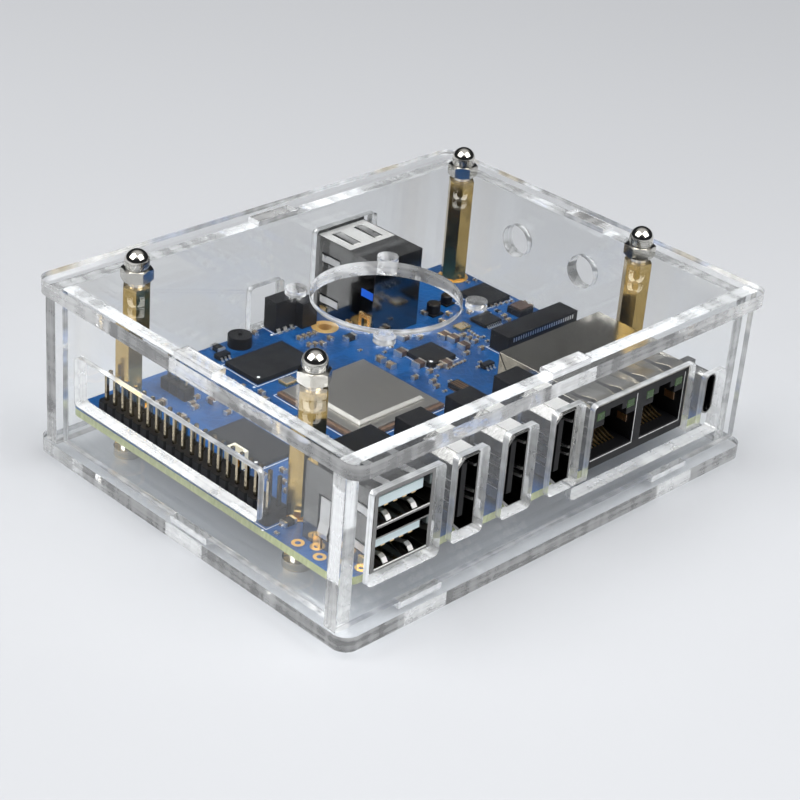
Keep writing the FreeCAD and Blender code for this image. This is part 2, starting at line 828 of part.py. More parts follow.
def bus_socket(prefix, x, mouth, facing, depth):
    """Two sockets one above the other: a folded shell with two shelves, a core and contacts."""
    width = middle(x, "bus_width")
    inner_width = middle(x, "bus_width - 2 * shell_wall")
    height = ("board_high", "board_high + bus_height")
    inner_height = ("board_high + shell_wall", "board_high + bus_height - shell_wall")
    sleeve = cut(prefix + "_sleeve",
                 box(prefix + "_outer", width, inward(mouth, facing, "0", depth), height),
                 box(prefix + "_inner", inner_width,
                     inward(mouth, facing, "0", f"{depth} - shell_wall"), inner_height))
    lip = cut(prefix + "_lip",
              box(prefix + "_lip_outer", middle(x, "bus_width + 2 * flange_lip"),
                  inward(mouth, facing, "0", "shell_wall"),
                  ("board_high", "board_high + bus_height + flange_lip")),
              box(prefix + "_lip_inner", inner_width, inward(mouth, facing, "0", "shell_wall"),
                  inner_height))
    core_back = f"{depth} - shell_wall"
    core_front = f"{depth} - shell_wall - bus_back_thickness"
    centre = "(board_high + bus_height / 2)"
    shelves = [box(f"{prefix}_shelf_{side + 1}", inner_width, inward(mouth, facing, "0", core_front),
                   middle(f"{centre} + {side} * (bus_divider - shell_wall) / 2", "shell_wall"))
               for side in (-1, 1)]
    node(fuse(prefix + "_folded", sleeve, lip, *shelves), prefix + "_shell")

    pieces = [box(prefix + "_back", inner_width, inward(mouth, facing, core_front, core_back),
                  inner_height)]
    ceilings = (f"{centre} - bus_divider / 2", "board_high + bus_height - shell_wall - bus_sill")
    contacts = []
    for level, ceiling in enumerate(ceilings, start=1):
        tongue_high = f"{ceiling} - bus_tongue_drop"
        tongue_low = f"{tongue_high} - bus_tongue_thickness"
        pieces.append(box(f"{prefix}_tongue_{level}", middle(x, "bus_tongue_width"),
                          inward(mouth, facing, "bus_tongue_setback", core_back),
                          (tongue_low, tongue_high)))
        for number in range(BUS_CONTACTS):
            place = f"{x} + ({number} - {BUS_CONTACTS - 1} / 2) * bus_contact_pitch"
            contacts.append(box(f"{prefix}_contact_{level}_{number}", middle(place, "bus_contact_width"),
                                inward(mouth, facing, "bus_tongue_setback", core_front),
                                (f"{tongue_low} - bus_contact_thickness", tongue_low)))
    node(fuse(prefix + "_moulded", *pieces), prefix + "_core")
    node(group(prefix + "_strips", contacts), prefix + "_contacts")


def display_profile(sketch, x, wall_inset):
    """Upright outline with its two corners on the -X side cut off."""
    left = f"{x} - display_width / 2 + {wall_inset}"
    right = f"{x} + display_width / 2 - {wall_inset}"
    low = f"board_high + display_lift + {wall_inset}"
    high = f"board_high + display_lift + display_height - {wall_inset}"
    outline(sketch, [(right, low), (right, high), (f"{left} + display_chamfer", high),
                     (left, f"{high} - display_chamfer"), (left, f"{low} + display_chamfer"),
                     (f"{left} + display_chamfer", low)])


def display_socket(number):
    """Upright display socket: a drawn sleeve and a moulded core with its tongue."""
    label = f"display_{number}"
    x = f"display_x + {number - 1} * display_pitch"
    body = new_body(label + "_shell")
    start = "-port_mouth - display_depth"
    section = new_sketch(body, label + "_section", "XZ_Plane", start)
    display_profile(section, x, "0")
    display_profile(section, x, "shell_wall")
    pad(body, section, "display_depth")

    core = new_body(label + "_core")
    plug = new_sketch(core, label + "_plug", "XZ_Plane", start)
    display_profile(plug, x, "shell_wall")
    pad(core, plug, "display_plug_thickness")
    back = new_sketch(core, label + "_back", "XZ_Plane", start + " - display_back_depth")
    rectangle(back, middle(x, "display_back_width"),
              ("board_high", "board_high + display_lift + display_height"))
    pad(core, back, "display_back_depth")
    tongue = new_sketch(core, label + "_tongue", "XZ_Plane", start)
    rectangle(tongue, middle(x, "display_tongue_thickness"),
              middle("board_high + display_lift + display_height / 2", "display_tongue_height"))
    pad(core, tongue, "display_depth - display_tongue_setback")


def make_network_socket():
    """Double network socket: folded shield, moulded housing, contacts and signal lamps."""
    width = ("network_left", "network_right")
    inner_width = ("network_left + shield_wall", "network_right - shield_wall")
    height = ("board_high", "board_high + network_height")
    inner_top = "board_high + network_height - shield_wall"
    depth = inward("port_mouth", -1, "0", "network_depth")
    inner_depth = inward("port_mouth", -1, "0", "network_depth - shield_wall")
    jacks = [f"network_x + {side} * network_pitch / 2" for side in (-1, 1)]
    jack_low = "board_high + jack_floor"
    jack_high = jack_low + " + jack_height"
    latch_high = jack_high + " + latch_height"
    key_high = latch_high + " + latch_key_height"

    hollow = box("shield_hollow", inner_width, inner_depth, ("board_high", inner_top))
    node(cut("shield_folded", box("shield_blank", width, depth, height), hollow), "network_shield")

    cavities = []
    contacts = []
    lamps = []
    for number, x in enumerate(jacks):
        for part, wide, low, high in (("bay", "jack_width", jack_low, jack_high),
                                      ("latch", "latch_width", jack_high, latch_high),
                                      ("key", "latch_key_width", latch_high, key_high)):
            cavities.append(box(f"jack_{number}_{part}", middle(x, wide),
                                inward("port_mouth", -1, "0", "jack_depth"), (low, high)))
        for count in range(JACK_CONTACTS):
            place = f"{x} + ({count} - {JACK_CONTACTS - 1} / 2) * jack_contact_pitch"
            wire = box(f"jack_{number}_wire_{count}", middle(place, "jack_contact_width"),
                       ("port_mouth + jack_depth - jack_contact_length",
                        "port_mouth + jack_depth"),
                       (jack_low, jack_low + " + jack_contact_width"))
            wire.Placement.Rotation = FreeCAD.Rotation(FreeCAD.Vector(1, 0, 0),
                                                       value("jack_contact_slope"))
            contacts.append(wire)
        for side in (-1, 1):
            centre = f"{x} + {side} * (jack_width / 2 - lamp_inset - lamp_width / 2)"
            lamp_top = inner_top + " - lamp_drop"
            limits = (middle(centre, "lamp_width"), inward("port_mouth", -1, "0", "lamp_depth"),
                      (f"{lamp_top} - lamp_height", lamp_top))
            lamps.append(box(f"lamp_{number}_{side + 1}", *limits))
            cavities.append(box(f"lamp_seat_{number}_{side + 1}", *limits))
    block = box("housing_blank", inner_width, inner_depth, ("board_high", inner_top))
    node(cut("housing_moulded", block, *cavities), "network_housing")
    node(group("network_wires", contacts), "network_contacts")
    node(group("network_lenses", lamps), "network_lamps")


def stadium(name, x, y, z, width):
    """Upright slot shape with round ends, lying along Y."""
    low, high = z
    round_low = f"{low} + ({width}) / 2"
    round_high = f"{high} - ({width}) / 2"
    return fuse(name, box(name + "_flat", middle(x, width), y, (round_low, round_high)),
                cross_rod(name + "_low", x, y, round_low, width),
                cross_rod(name + "_high", x, y, round_high, width))


def make_power_socket():
    """Upright power socket: drawn oval sleeve and a moulded core with its tongue."""
    low = "board_high + power_lift"
    high = low + " + power_height"
    depth = inward("port_mouth", -1, "0", "power_depth")
    inner = (f"{low} + shell_wall", f"{high} - shell_wall")
    outer_oval = stadium("power_outer", "power_x", depth, (low, high), "power_width")
    inner_oval = stadium("power_inner", "power_x", depth, inner, "power_width - 2 * shell_wall")
    node(cut("power_sleeve", outer_oval, inner_oval), "power_shell")
    tongue = box("power_tongue", middle("power_x", "power_tongue_thickness"),
                 inward("port_mouth", -1, "power_tongue_setback", "power_depth"),
                 middle(f"{low} + power_height / 2", "power_tongue_height"))
    back = box("power_back", middle("power_x", "power_back_width"),
               inward("port_mouth", -1, "power_depth", "power_depth + power_back_thickness"),
               ("board_high", high))
    node(fuse("power_moulded", tongue, back), "power_core")


def make_sound_socket():
    """Small black socket behind the small rear window."""
    mouth = "board_rear + sound_overhang"
    block = box("sound_block", middle("-sound_centre_left", "sound_width"),
                inward(mouth, 1, "0", "sound_depth"), ("board_high", "board_high + sound_height"))
    bore = cross_rod("sound_bore", "-sound_centre_left", inward(mouth, 1, "0", "sound_hole_depth"),
                     "board_high + sound_height / 2", "sound_hole_diameter")
    node(cut("sound_cut", block, bore), "sound_socket")


def make_receiver():
    """Black remote receiver with a half-round lens toward the rear."""
    rear = "board_rear - receiver_from_rear"
    top = "board_high + receiver_height"
    block = box("receiver_block", middle("receiver_centre_right", "receiver_width"),
                inward(rear, 1, "0", "receiver_depth"), ("board_high", top))
    lens = rod("receiver_lens", "receiver_centre_right", rear, ("board_high", top),
               "receiver_lens_diameter")
    node(fuse("receiver_moulded", block, lens), "receiver")


def make_buzzer():
    """Round black buzzer with a small port on top."""
    x, y = "-buzzer_centre_left", "board_rear - buzzer_from_rear"
    top = "board_high + buzzer_height"
    node(cut("buzzer_cut", rod("buzzer_can", x, y, ("board_high", top), "buzzer_diameter"),
             rod("buzzer_port", x, y, (f"{top} - buzzer_height / 2", top), "buzzer_hole")), "buzzer")


def make_card_socket():
    """Flat edge socket for a plug-in card, its slot facing the rear."""
    x = "board_right - card_from_right - card_width / 2"
    rear = "card_centre_rear + card_depth / 2"
    block = box("card_block", middle(x, "card_width"), (f"{rear} - card_depth", rear),
                ("board_high", "board_high + card_height"))
    slot = box("card_slot", middle(x, "card_slot_width"), (f"{rear} - card_slot_depth", rear),
               ("board_high + card_slot_lift", "board_high + card_slot_lift + card_slot_height"))
    node(cut("card_cut", block, slot), "card_socket")


def make_cable_socket():
    """White two-way cable socket, open on top."""
    x, y = "cable_from_left - board_right", "cable_centre_rear"
    top = "board_high + cable_height"
    block = box("cable_block", middle(x, "cable_width"), middle(y, "cable_length"), ("board_high", top))
    hollow = box("cable_hollow", middle(x, "cable_width - 2 * cable_wall"),
                 middle(y, "cable_length - 2 * cable_wall"), ("board_high + cable_wall", top))
    node(cut("cable_cut", block, hollow), "cable_socket")


# Processor and chips

def make_processor():
    """Processor on its substrate, with a flanged metal cap and a raised plateau."""
    x, y = "processor_x", "processor_y"
    cap_low = "board_high + processor_base_thickness"
    node(box("processor_board", middle(x, "processor_side"), middle(y, "processor_side"),
             ("board_high", cap_low)), "processor_base")

    cap = new_body("processor_cap")
    flange = new_sketch(cap, "cap_flange", "XY_Plane", cap_low)
    rectangle(flange, middle(x, "processor_cap_side"), middle(y, "processor_cap_side"))
    pad(cap, flange, "processor_flange_thickness")
    plateau_low = f"{cap_low} + processor_flange_thickness"
    plateau = new_sketch(cap, "cap_plateau", "XY_Plane", plateau_low)
    rectangle(plateau, middle(x, "processor_plateau_side"), middle(y, "processor_plateau_side"))
    pad(cap, plateau, "processor_plateau_height")
    top = value(f"{plateau_low} + processor_plateau_height")
    rims = [f"Edge{number}" for number, edge in enumerate(cap.Shape.Edges, start=1)
            if abs(edge.BoundBox.ZMin - top) < SAME_HEIGHT]
    base = cap.Tip
    slope = cap.newObject("PartDesign::Chamfer", "cap_slope")
    slope.Base = (base, rims)
    bind(slope, "Size", "processor_plateau_slope")
    doc.recompute()
    mark = new_sketch(cap, "cap_mark", "XY_Plane", cap_low)
    circle(mark, f"{x} - processor_cap_side / 2 + processor_mark_inset",
           f"{y} - processor_cap_side / 2 + processor_mark_inset", "processor_mark_diameter")
    pocket(cap, mark, "processor_flange_thickness")


def flat_chip(label, x, y, wide, deep, thick):
    """Plain moulded chip on the board."""
    node(box(label, middle(x, wide), middle(y, deep), ("board_high", f"board_high + {thick}")), label)


def make_chips():
    flat_chip("memory_rear", "processor_x - rear_memory_shift_left", "memory_front + memory_short / 2",
              "memory_long", "memory_short", "memory_thickness")
    flat_chip("memory_side", "side_memory_from_left - board_right", "side_memory_rear",
              "memory_short", "memory_long", "memory_thickness")
    flat_chip("regulator_chip", "regulator_right", "regulator_rear",
              "regulator_side", "regulator_side", "regulator_thickness")
    flat_chip("bridge_chip", "board_right - bridge_from_right", "board_rear - bridge_from_rear",
              "bridge_side", "bridge_side", "bridge_thickness")


def check_document():
    """Stop where any object failed or any sub-part has no sound solid."""
    doc.recompute()
    for item in doc.Objects:
        if "Invalid" in item.State or "Error" in item.State:
            raise RuntimeError(f"{item.Label} failed: {item.State}")
    for item in nodes:
        if item.Shape.isNull() or not item.Shape.isValid() or not item.Shape.Solids:
            raise RuntimeError(f"{item.Label} has no sound solid")


def write_parts():
    os.makedirs("parts", exist_ok=True)
    for item in nodes:
        item.Shape.exportStep(f"parts/{item.Label}.step")


make_bottom_plate()
make_lid()
make_front_plate()
make_rear_plate()
make_left_plate()
make_right_plate()
make_bottom_screws()
make_lower_standoffs()
make_upper_posts()
make_cap_nuts()
make_circuit_board()
make_header()
bus_socket("bus", "bus_x", "port_mouth", -1, "bus_depth")
bus_socket("fast_bus", "fast_x", "fast_mouth", 1, "fast_bus_depth")
for display in range(1, DISPLAY_COUNT + 1):
    display_socket(display)
make_network_socket()
make_power_socket()
make_sound_socket()
make_receiver()
make_buzzer()
make_card_socket()
make_cable_socket()
make_processor()
make_chips()
check_document()
write_parts()
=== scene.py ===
import math

import bmesh
import bpy
from mathutils import Matrix, Vector


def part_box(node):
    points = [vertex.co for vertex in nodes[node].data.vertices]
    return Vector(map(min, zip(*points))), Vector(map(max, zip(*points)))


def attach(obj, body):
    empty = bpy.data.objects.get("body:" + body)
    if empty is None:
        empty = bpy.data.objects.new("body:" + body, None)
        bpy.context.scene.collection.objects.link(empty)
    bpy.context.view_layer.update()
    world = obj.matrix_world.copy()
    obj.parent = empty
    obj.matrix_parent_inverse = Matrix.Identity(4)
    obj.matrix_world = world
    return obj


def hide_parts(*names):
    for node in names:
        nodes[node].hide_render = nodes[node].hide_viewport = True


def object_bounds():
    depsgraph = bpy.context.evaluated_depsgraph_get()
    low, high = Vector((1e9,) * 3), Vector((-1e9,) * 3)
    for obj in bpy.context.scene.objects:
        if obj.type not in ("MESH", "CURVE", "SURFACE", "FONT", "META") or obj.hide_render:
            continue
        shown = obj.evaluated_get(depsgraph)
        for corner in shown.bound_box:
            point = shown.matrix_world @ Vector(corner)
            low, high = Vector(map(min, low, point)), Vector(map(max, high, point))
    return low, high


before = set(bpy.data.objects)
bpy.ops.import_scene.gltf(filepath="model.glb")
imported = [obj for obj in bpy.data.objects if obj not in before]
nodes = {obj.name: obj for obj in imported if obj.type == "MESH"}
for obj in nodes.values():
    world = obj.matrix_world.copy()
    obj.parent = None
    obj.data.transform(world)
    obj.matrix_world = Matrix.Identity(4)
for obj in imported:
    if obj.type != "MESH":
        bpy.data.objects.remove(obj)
cad_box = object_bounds()

MM = 0.001
BODY = "root"

# Camera, as the photograph was taken
CAMERA_PLACE = (-257.233 * MM, -243.441 * MM, 208.731 * MM)
CAMERA_RIGHT = (0.71439, -0.69600, 0.07226)
CAMERA_DOWN = (-0.29271, -0.39103, -0.87259)
CAMERA_LENS_MM = 92.88
CAMERA_SENSOR_MM = 36.0

# The board and what lies on it
BOARD_LOW, BOARD_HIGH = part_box("circuit_board")
BOARD_TOP = BOARD_HIGH.z
BOARD_UNDER = BOARD_LOW.z
SPARE_HOLE = (7.3 * MM, 30.2 * MM)
COPPER = 0.04 * MM
INK = 0.02 * MM

# Sheet metal of the sockets, the thin dark patch of painted shade that stands for a slot in it, and the forty pins
SHELL = 0.35 * MM
SHADE_FILM = 0.02 * MM
PIN_ROWS = 20
PIN_PITCH = 2.54 * MM
PIN_HALF = 0.32 * MM

# Light and floor
LAMP_TARGET = (0.0, 0.0, 0.02)
LAMP_WIDTH = 0.85
LEFT_LAMP = (-0.62, 0.18, 0.80)
LEFT_LAMP_POWER = 10.0
RIGHT_LAMP = (0.14, -0.62, 0.80)
RIGHT_LAMP_POWER = 9.0
SKY_STRENGTH = 0.7
SKY_LOW = (0.035, 0.037, 0.042)
SKY_HIGH = (1.0, 1.0, 1.0)
BACKDROP = (0.95, 0.96, 0.98, 1.0)
FLOOR_RADIUS = 6.0


# Shader helpers

def new_material(name, roughness=0.5, metallic=0.0):
    """A node material with its Principled shader."""
    material = bpy.data.materials.new(name)
    material.use_nodes = True
    tree = material.node_tree
    shader = tree.nodes["Principled BSDF"]
    shader.inputs["Roughness"].default_value = roughness
    shader.inputs["Metallic"].default_value = metallic
    return material, tree, shader


def place_of(tree, stretch=(1.0, 1.0, 1.0)):
    """The object's own place in metres, stretched by axis."""
    place = tree.nodes.new("ShaderNodeTexCoord")
    mapping = tree.nodes.new("ShaderNodeMapping")
    mapping.inputs["Scale"].default_value = stretch
    tree.links.new(place.outputs["Object"], mapping.inputs["Vector"])
    return mapping.outputs["Vector"]


def noise(tree, size, detail=3.0, stretch=(1.0, 1.0, 1.0)):
    """Noise with features of about that size in metres."""
    texture = tree.nodes.new("ShaderNodeTexNoise")
    texture.inputs["Scale"].default_value = 1.0 / size
    texture.inputs["Detail"].default_value = detail
    tree.links.new(place_of(tree, stretch), texture.inputs["Vector"])
    return texture.outputs["Fac"]


def blend_colours(tree, factor, low, high, start=0.3, end=0.7):
    """A colour that goes from low to high as factor goes from start to end."""
    ramp = tree.nodes.new("ShaderNodeValToRGB")
    ramp.color_ramp.elements[0].position = start
    ramp.color_ramp.elements[0].color = (*low, 1.0)
    ramp.color_ramp.elements[1].position = end
    ramp.color_ramp.elements[1].color = (*high, 1.0)
    tree.links.new(factor, ramp.inputs["Fac"])
    return ramp.outputs["Color"]


def spread(tree, factor, low, high, start=0.3, end=0.7):
    """A number that goes from low to high as factor goes from start to end."""
    change = tree.nodes.new("ShaderNodeMapRange")
    change.inputs["From Min"].default_value = start
    change.inputs["From Max"].default_value = end
    change.inputs["To Min"].default_value = low
    change.inputs["To Max"].default_value = high
    tree.links.new(factor, change.inputs["Value"])
    return change.outputs["Result"]


def maths(tree, operation, first, second):
    """Arithmetic on a socket with another socket or a number."""
    node = tree.nodes.new("ShaderNodeMath")
    node.operation = operation
    tree.links.new(first, node.inputs[0])
    if isinstance(second, bpy.types.NodeSocket):
        tree.links.new(second, node.inputs[1])
    else:
        node.inputs[1].default_value = second
    return node.outputs["Value"]


def roughen(tree, shader, height, depth, strength=1.0):
    """A bump of that depth in metres on the shader."""
    bump = tree.nodes.new("ShaderNodeBump")
    bump.inputs["Strength"].default_value = strength
    bump.inputs["Distance"].default_value = depth
    tree.links.new(height, bump.inputs["Height"])
    tree.links.new(bump.outputs["Normal"], shader.inputs["Normal"])


def facing(tree, axis):
    """How much the surface faces along X, Y or Z: 1 along the axis, 0 across it."""
    geometry = tree.nodes.new("ShaderNodeNewGeometry")
    split = tree.nodes.new("ShaderNodeSeparateXYZ")
    tree.links.new(geometry.outputs["Normal"], split.inputs["Vector"])
    return maths(tree, "ABSOLUTE", split.outputs[axis], 0.0)


# Materials

ACRYLIC_IOR = 1.49
SHEET_GLOSS = 0.0
CUT_GLOSS = 0.07
CUT_CLEARNESS = 0.62
CUT_CLOUDS = 2.4 * MM
CUT_STREAKS = 0.9 * MM
CUT_STRETCH = 0.05


def clear_sheet(name, axis):
    """Clear acrylic whose faces lie across the axis, with the pale streaky edges that a laser leaves."""
    material, tree, shader = new_material(name)
    shader.inputs["IOR"].default_value = ACRYLIC_IOR
    shader.inputs["Base Color"].default_value = (0.985, 0.992, 0.995, 1.0)
    stretch = {"X": (CUT_STRETCH, 1.0, 1.0), "Y": (1.0, CUT_STRETCH, 1.0), "Z": (1.0, 1.0, CUT_STRETCH)}[axis]
    cut = spread(tree, facing(tree, axis), 1.0, 0.0, 0.55, 0.95)
    layers = tuple(1.0 + CUT_STRETCH - part for part in stretch)
    streaks = maths(tree, "ADD", maths(tree, "MULTIPLY", noise(tree, CUT_CLOUDS, 1.0, stretch), 0.5),
                    maths(tree, "MULTIPLY", noise(tree, CUT_STREAKS, 1.0, layers), 0.5))
    cloudy = maths(tree, "MULTIPLY", cut, spread(tree, streaks, 0.5, 1.0, 0.38, 0.62))
    tree.links.new(spread(tree, cloudy, 1.0, CUT_CLEARNESS, 0.0, 1.0), shader.inputs["Transmission Weight"])
    tree.links.new(spread(tree, cut, SHEET_GLOSS, CUT_GLOSS, 0.0, 1.0), shader.inputs["Roughness"])
    roughen(tree, shader, maths(tree, "MULTIPLY", streaks, cut), 0.02 * MM, 0.5)
    light = tree.nodes.new("ShaderNodeLightPath")
    clear = tree.nodes.new("ShaderNodeBsdfTransparent")
    clear.inputs["Color"].default_value = (0.93, 0.94, 0.945, 1.0)
    mixer = tree.nodes.new("ShaderNodeMixShader")
    passing = maths(tree, "MULTIPLY", light.outputs["Is Shadow Ray"], spread(tree, cut, 1.0, 0.45, 0.0, 1.0))
    tree.links.new(passing, mixer.inputs["Fac"])
    tree.links.new(shader.outputs["BSDF"], mixer.inputs[1])
    tree.links.new(clear.outputs["BSDF"], mixer.inputs[2])
    tree.links.new(mixer.outputs["Shader"], tree.nodes["Material Output"].inputs["Surface"])
    return material


def turned_metal(name, pale, deep, roughness, ring=0.25 * MM):
    """Bright metal with fine turning rings and a few cloudy patches."""
    material, tree, shader = new_material(name, roughness, 1.0)
    patches = noise(tree, 2.5 * MM, 4.0)
    rings = noise(tree, ring, 2.0, (0.05, 0.05, 1.0))
    tree.links.new(blend_colours(tree, patches, deep, pale), shader.inputs["Base Color"])
    tree.links.new(spread(tree, patches, roughness * 1.5, roughness), shader.inputs["Roughness"])
    roughen(tree, shader, rings, 0.01 * MM, 0.5)
    return material


def plated_sheet(name, pale, deep, roughness, wear=0.4):
    """Rolled and plated sheet metal with faint cloudy stains and rolling lines."""
    material, tree, shader = new_material(name, roughness, 1.0)
    stains = noise(tree, 6.0 * MM, 5.0)
    lines = noise(tree, 0.5 * MM, 2.0, (1.0, 1.0, 0.06))
    tree.links.new(blend_colours(tree, stains, deep, pale), shader.inputs["Base Color"])
    worn = spread(tree, stains, roughness * (1.0 + wear), roughness * (1.0 - wear / 2))
    tree.links.new(worn, shader.inputs["Roughness"])
    roughen(tree, shader, lines, 0.012 * MM, 0.6)
    return material


def moulded(name, colour, shade, roughness=0.45, grain=0.18 * MM, shine=0.5):
    """Moulded plastic with a fine grain and a slight change of shade."""
    material, tree, shader = new_material(name, roughness)
    shader.inputs["Specular IOR Level"].default_value = shine
    cloud = noise(tree, 4.0 * MM, 3.0)
    tree.links.new(blend_colours(tree, cloud, shade, colour), shader.inputs["Base Color"])
    tree.links.new(spread(tree, cloud, roughness * 1.2, roughness * 0.85), shader.inputs["Roughness"])
    roughen(tree, shader, noise(tree, grain, 2.0), 0.015 * MM, 0.7)
    return material


def solder_mask():
    """Blue lacquer over copper: broad pours, thin tracks and the pale glass fibre of the sawn edge."""
    material, tree, shader = new_material("board_blue", 0.28)
    shader.inputs["Coat Weight"].default_value = 0.25
    shader.inputs["Coat Roughness"].default_value = 0.12
    place = place_of(tree)
    pours = tree.nodes.new("ShaderNodeTexVoronoi")
    pours.distance = "CHEBYCHEV"
    pours.inputs["Scale"].default_value = 1.0 / (9.0 * MM)
    tree.links.new(place, pours.inputs["Vector"])
    tracks = tree.nodes.new("ShaderNodeTexVoronoi")
    tracks.distance = "CHEBYCHEV"
    tracks.feature = "DISTANCE_TO_EDGE"
    tracks.inputs["Scale"].default_value = 1.0 / (1.6 * MM)
    tree.links.new(place, tracks.inputs["Vector"])
    copper = spread(tree, tracks.outputs["Distance"], 1.0, 0.0, 0.04, 0.07)
    deep = blend_colours(tree, pours.outputs["Distance"], (0.001, 0.038, 0.135), (0.002, 0.058, 0.195), 0.35, 0.4)
    lacquer = tree.nodes.new("ShaderNodeMix")
    lacquer.data_type = "RGBA"
    lacquer.inputs["B"].default_value = (0.004, 0.085, 0.26, 1.0)
    tree.links.new(maths(tree, "MULTIPLY", copper, 0.4), lacquer.inputs["Factor"])
    tree.links.new(deep, lacquer.inputs["A"])
    fibre = blend_colours(tree, noise(tree, 0.5 * MM, 4.0, (1.0, 1.0, 0.2)), (0.24, 0.27, 0.11), (0.42, 0.45, 0.22))
    skin = tree.nodes.new("ShaderNodeMix")
    skin.data_type = "RGBA"
    tree.links.new(spread(tree, facing(tree, "Z"), 0.0, 1.0, 0.4, 0.6), skin.inputs["Factor"])
    tree.links.new(fibre, skin.inputs["A"])
    tree.links.new(lacquer.outputs["Result"], skin.inputs["B"])
    tree.links.new(skin.outputs["Result"], shader.inputs["Base Color"])
    roughen(tree, shader, copper, 0.03 * MM, 0.5)
    return material


def laid_fibre(name, pale, deep):
    """The fibre carrier under the processor's cap."""
    material, tree, shader = new_material(name, 0.4)
    weave = noise(tree, 0.6 * MM, 4.0, (1.0, 1.0, 0.3))
    tree.links.new(blend_colours(tree, weave, deep, pale), shader.inputs["Base Color"])
    roughen(tree, shader, weave, 0.02 * MM)
    return material


def floor_finish():
    """A plain pale matt floor."""
    material, tree, shader = new_material("floor", 0.85)
    shader.inputs["Specular IOR Level"].default_value = 0.2
    soft = noise(tree, 0.6, 2.0)
    tree.links.new(blend_colours(tree, soft, (0.50, 0.51, 0.53), (0.54, 0.55, 0.57)), shader.inputs["Base Color"])
    return material


FINISHES = {
    "brass": turned_metal("brass", (0.60, 0.43, 0.17), (0.50, 0.35, 0.12), 0.14),
    "nickel": turned_metal("nickel", (0.74, 0.72, 0.67), (0.62, 0.60, 0.55), 0.07),
    "board_blue": solder_mask(),
    "black_plastic": moulded("black_plastic", (0.008, 0.008, 0.009), (0.005, 0.005, 0.006), 0.4, shine=0.25),
    "gold_plate": plated_sheet("gold_plate", (0.93, 0.70, 0.38), (0.80, 0.57, 0.27), 0.26),
    "pad_gold": plated_sheet("pad_gold", (1.0, 0.70, 0.30), (0.88, 0.58, 0.20), 0.5),
    "pin_plate": plated_sheet("pin_plate", (0.58, 0.50, 0.37), (0.40, 0.34, 0.24), 0.1),
    "socket_metal": plated_sheet("socket_metal", (0.30, 0.296, 0.285), (0.21, 0.206, 0.2), 0.1),
    "shield_metal": plated_sheet("shield_metal", (0.52, 0.49, 0.43), (0.42, 0.40, 0.35), 0.14),
    "pale_plastic": moulded("pale_plastic", (0.72, 0.84, 0.86), (0.64, 0.77, 0.80), 0.3),
    "blue_plastic": moulded("blue_plastic", (0.01, 0.10, 0.55), (0.01, 0.07, 0.42), 0.35),
    "white_plastic": moulded("white_plastic", (0.80, 0.76, 0.62), (0.70, 0.65, 0.50), 0.4),
    "lamp_green": moulded("lamp_green", (0.03, 0.085, 0.008), (0.012, 0.04, 0.006), 0.12),
    "substrate": laid_fibre("substrate", (0.17, 0.105, 0.07), (0.10, 0.062, 0.042)),
    "cap_metal": plated_sheet("cap_metal", (0.52, 0.505, 0.475), (0.49, 0.475, 0.445), 0.42, 0.05),
    "chip_black": moulded("chip_black", (0.012, 0.0125, 0.014), (0.008, 0.0085, 0.01), 0.5, 0.1 * MM, 0.25),
    "tin": plated_sheet("tin", (0.92, 0.91, 0.89), (0.80, 0.79, 0.77), 0.28),
    "ceramic": moulded("ceramic", (0.20, 0.155, 0.11), (0.13, 0.10, 0.07), 0.4, 0.08 * MM),
    "ferrite": moulded("ferrite", (0.085, 0.055, 0.045), (0.05, 0.032, 0.026), 0.45, 0.08 * MM),
    "copper": plated_sheet("copper", (0.74, 0.50, 0.34), (0.58, 0.36, 0.22), 0.3),
    # Pale rough tin: painted highlight on the tops of the display sockets and along the mouths of the rear bus
    # sockets, also laid as a thin sheet over the rear bus tops.
    "satin_tin_painted_highlight": plated_sheet("satin_tin_painted_highlight", (0.94, 0.93, 0.91), (0.86, 0.85, 0.83), 0.55, 0.15),
    "white_ink": moulded("white_ink", (0.80, 0.81, 0.82), (0.68, 0.69, 0.70), 0.6),
}
SHEETS = {
    "bottom_plate": clear_sheet("clear_sheet_covers", "Z"),
    "front_plate": clear_sheet("clear_sheet_long", "Y"),
    "left_plate": clear_sheet("clear_sheet_short", "X"),
}
SHEETS["lid"] = SHEETS["bottom_plate"]
SHEETS["rear_plate"] = SHEETS["front_plate"]
SHEETS["right_plate"] = SHEETS["left_plate"]


# CAD nodes

SHEET_EDGE = 0.12 * MM
SHEET_AIR = 0.01 * MM
METAL_EDGE = 0.12 * MM
FINE_EDGE = 0.05 * MM
TURNED = ("bottom_screws", "buzzer", "receiver", "sound_socket", "cap_nuts")
FINE = ("header_pins", "bus_contacts", "fast_bus_contacts", "network_contacts", "power_shell", "circuit_board",
        "lower_standoffs", "upper_posts", "bus_shell", "fast_bus_shell")


def round_edges(thing, width):
    """Rounds the sharp edges of a piece a little, as real ones are."""
    weld = thing.modifiers.new("weld", "WELD")
    weld.merge_threshold = 0.001 * MM
    bevel = thing.modifiers.new("bevel", "BEVEL")
    bevel.width = width
    bevel.segments = 2
    bevel.limit_method = "ANGLE"
    bevel.angle_limit = math.radians(35.0)


def part_sheets(thing):
    """Leaves a breath of air between sheets that touch, so that each keeps its own surface."""
    gap = thing.modifiers.new("air", "DISPLACE")
    gap.strength = -SHEET_AIR
    gap.mid_level = 0.0


def finish_node(name, thing):
    """Gives a CAD node its material and its soft edges."""
    slot = thing.data.materials[0].name.split(".")[0] if thing.data.materials else "black_plastic"
    thing.data.materials.clear()
    slot = "pin_plate" if name == "header_pins" else slot
    thing.data.materials.append(SHEETS[name] if name in SHEETS else FINISHES[slot])
    if name in SHEETS:
        round_edges(thing, SHEET_EDGE)
        part_sheets(thing)
    elif name not in TURNED:
        round_edges(thing, FINE_EDGE if name in FINE else METAL_EDGE)


for node_name, node_thing in nodes.items():
    finish_node(node_name, node_thing)


# Mesh helpers

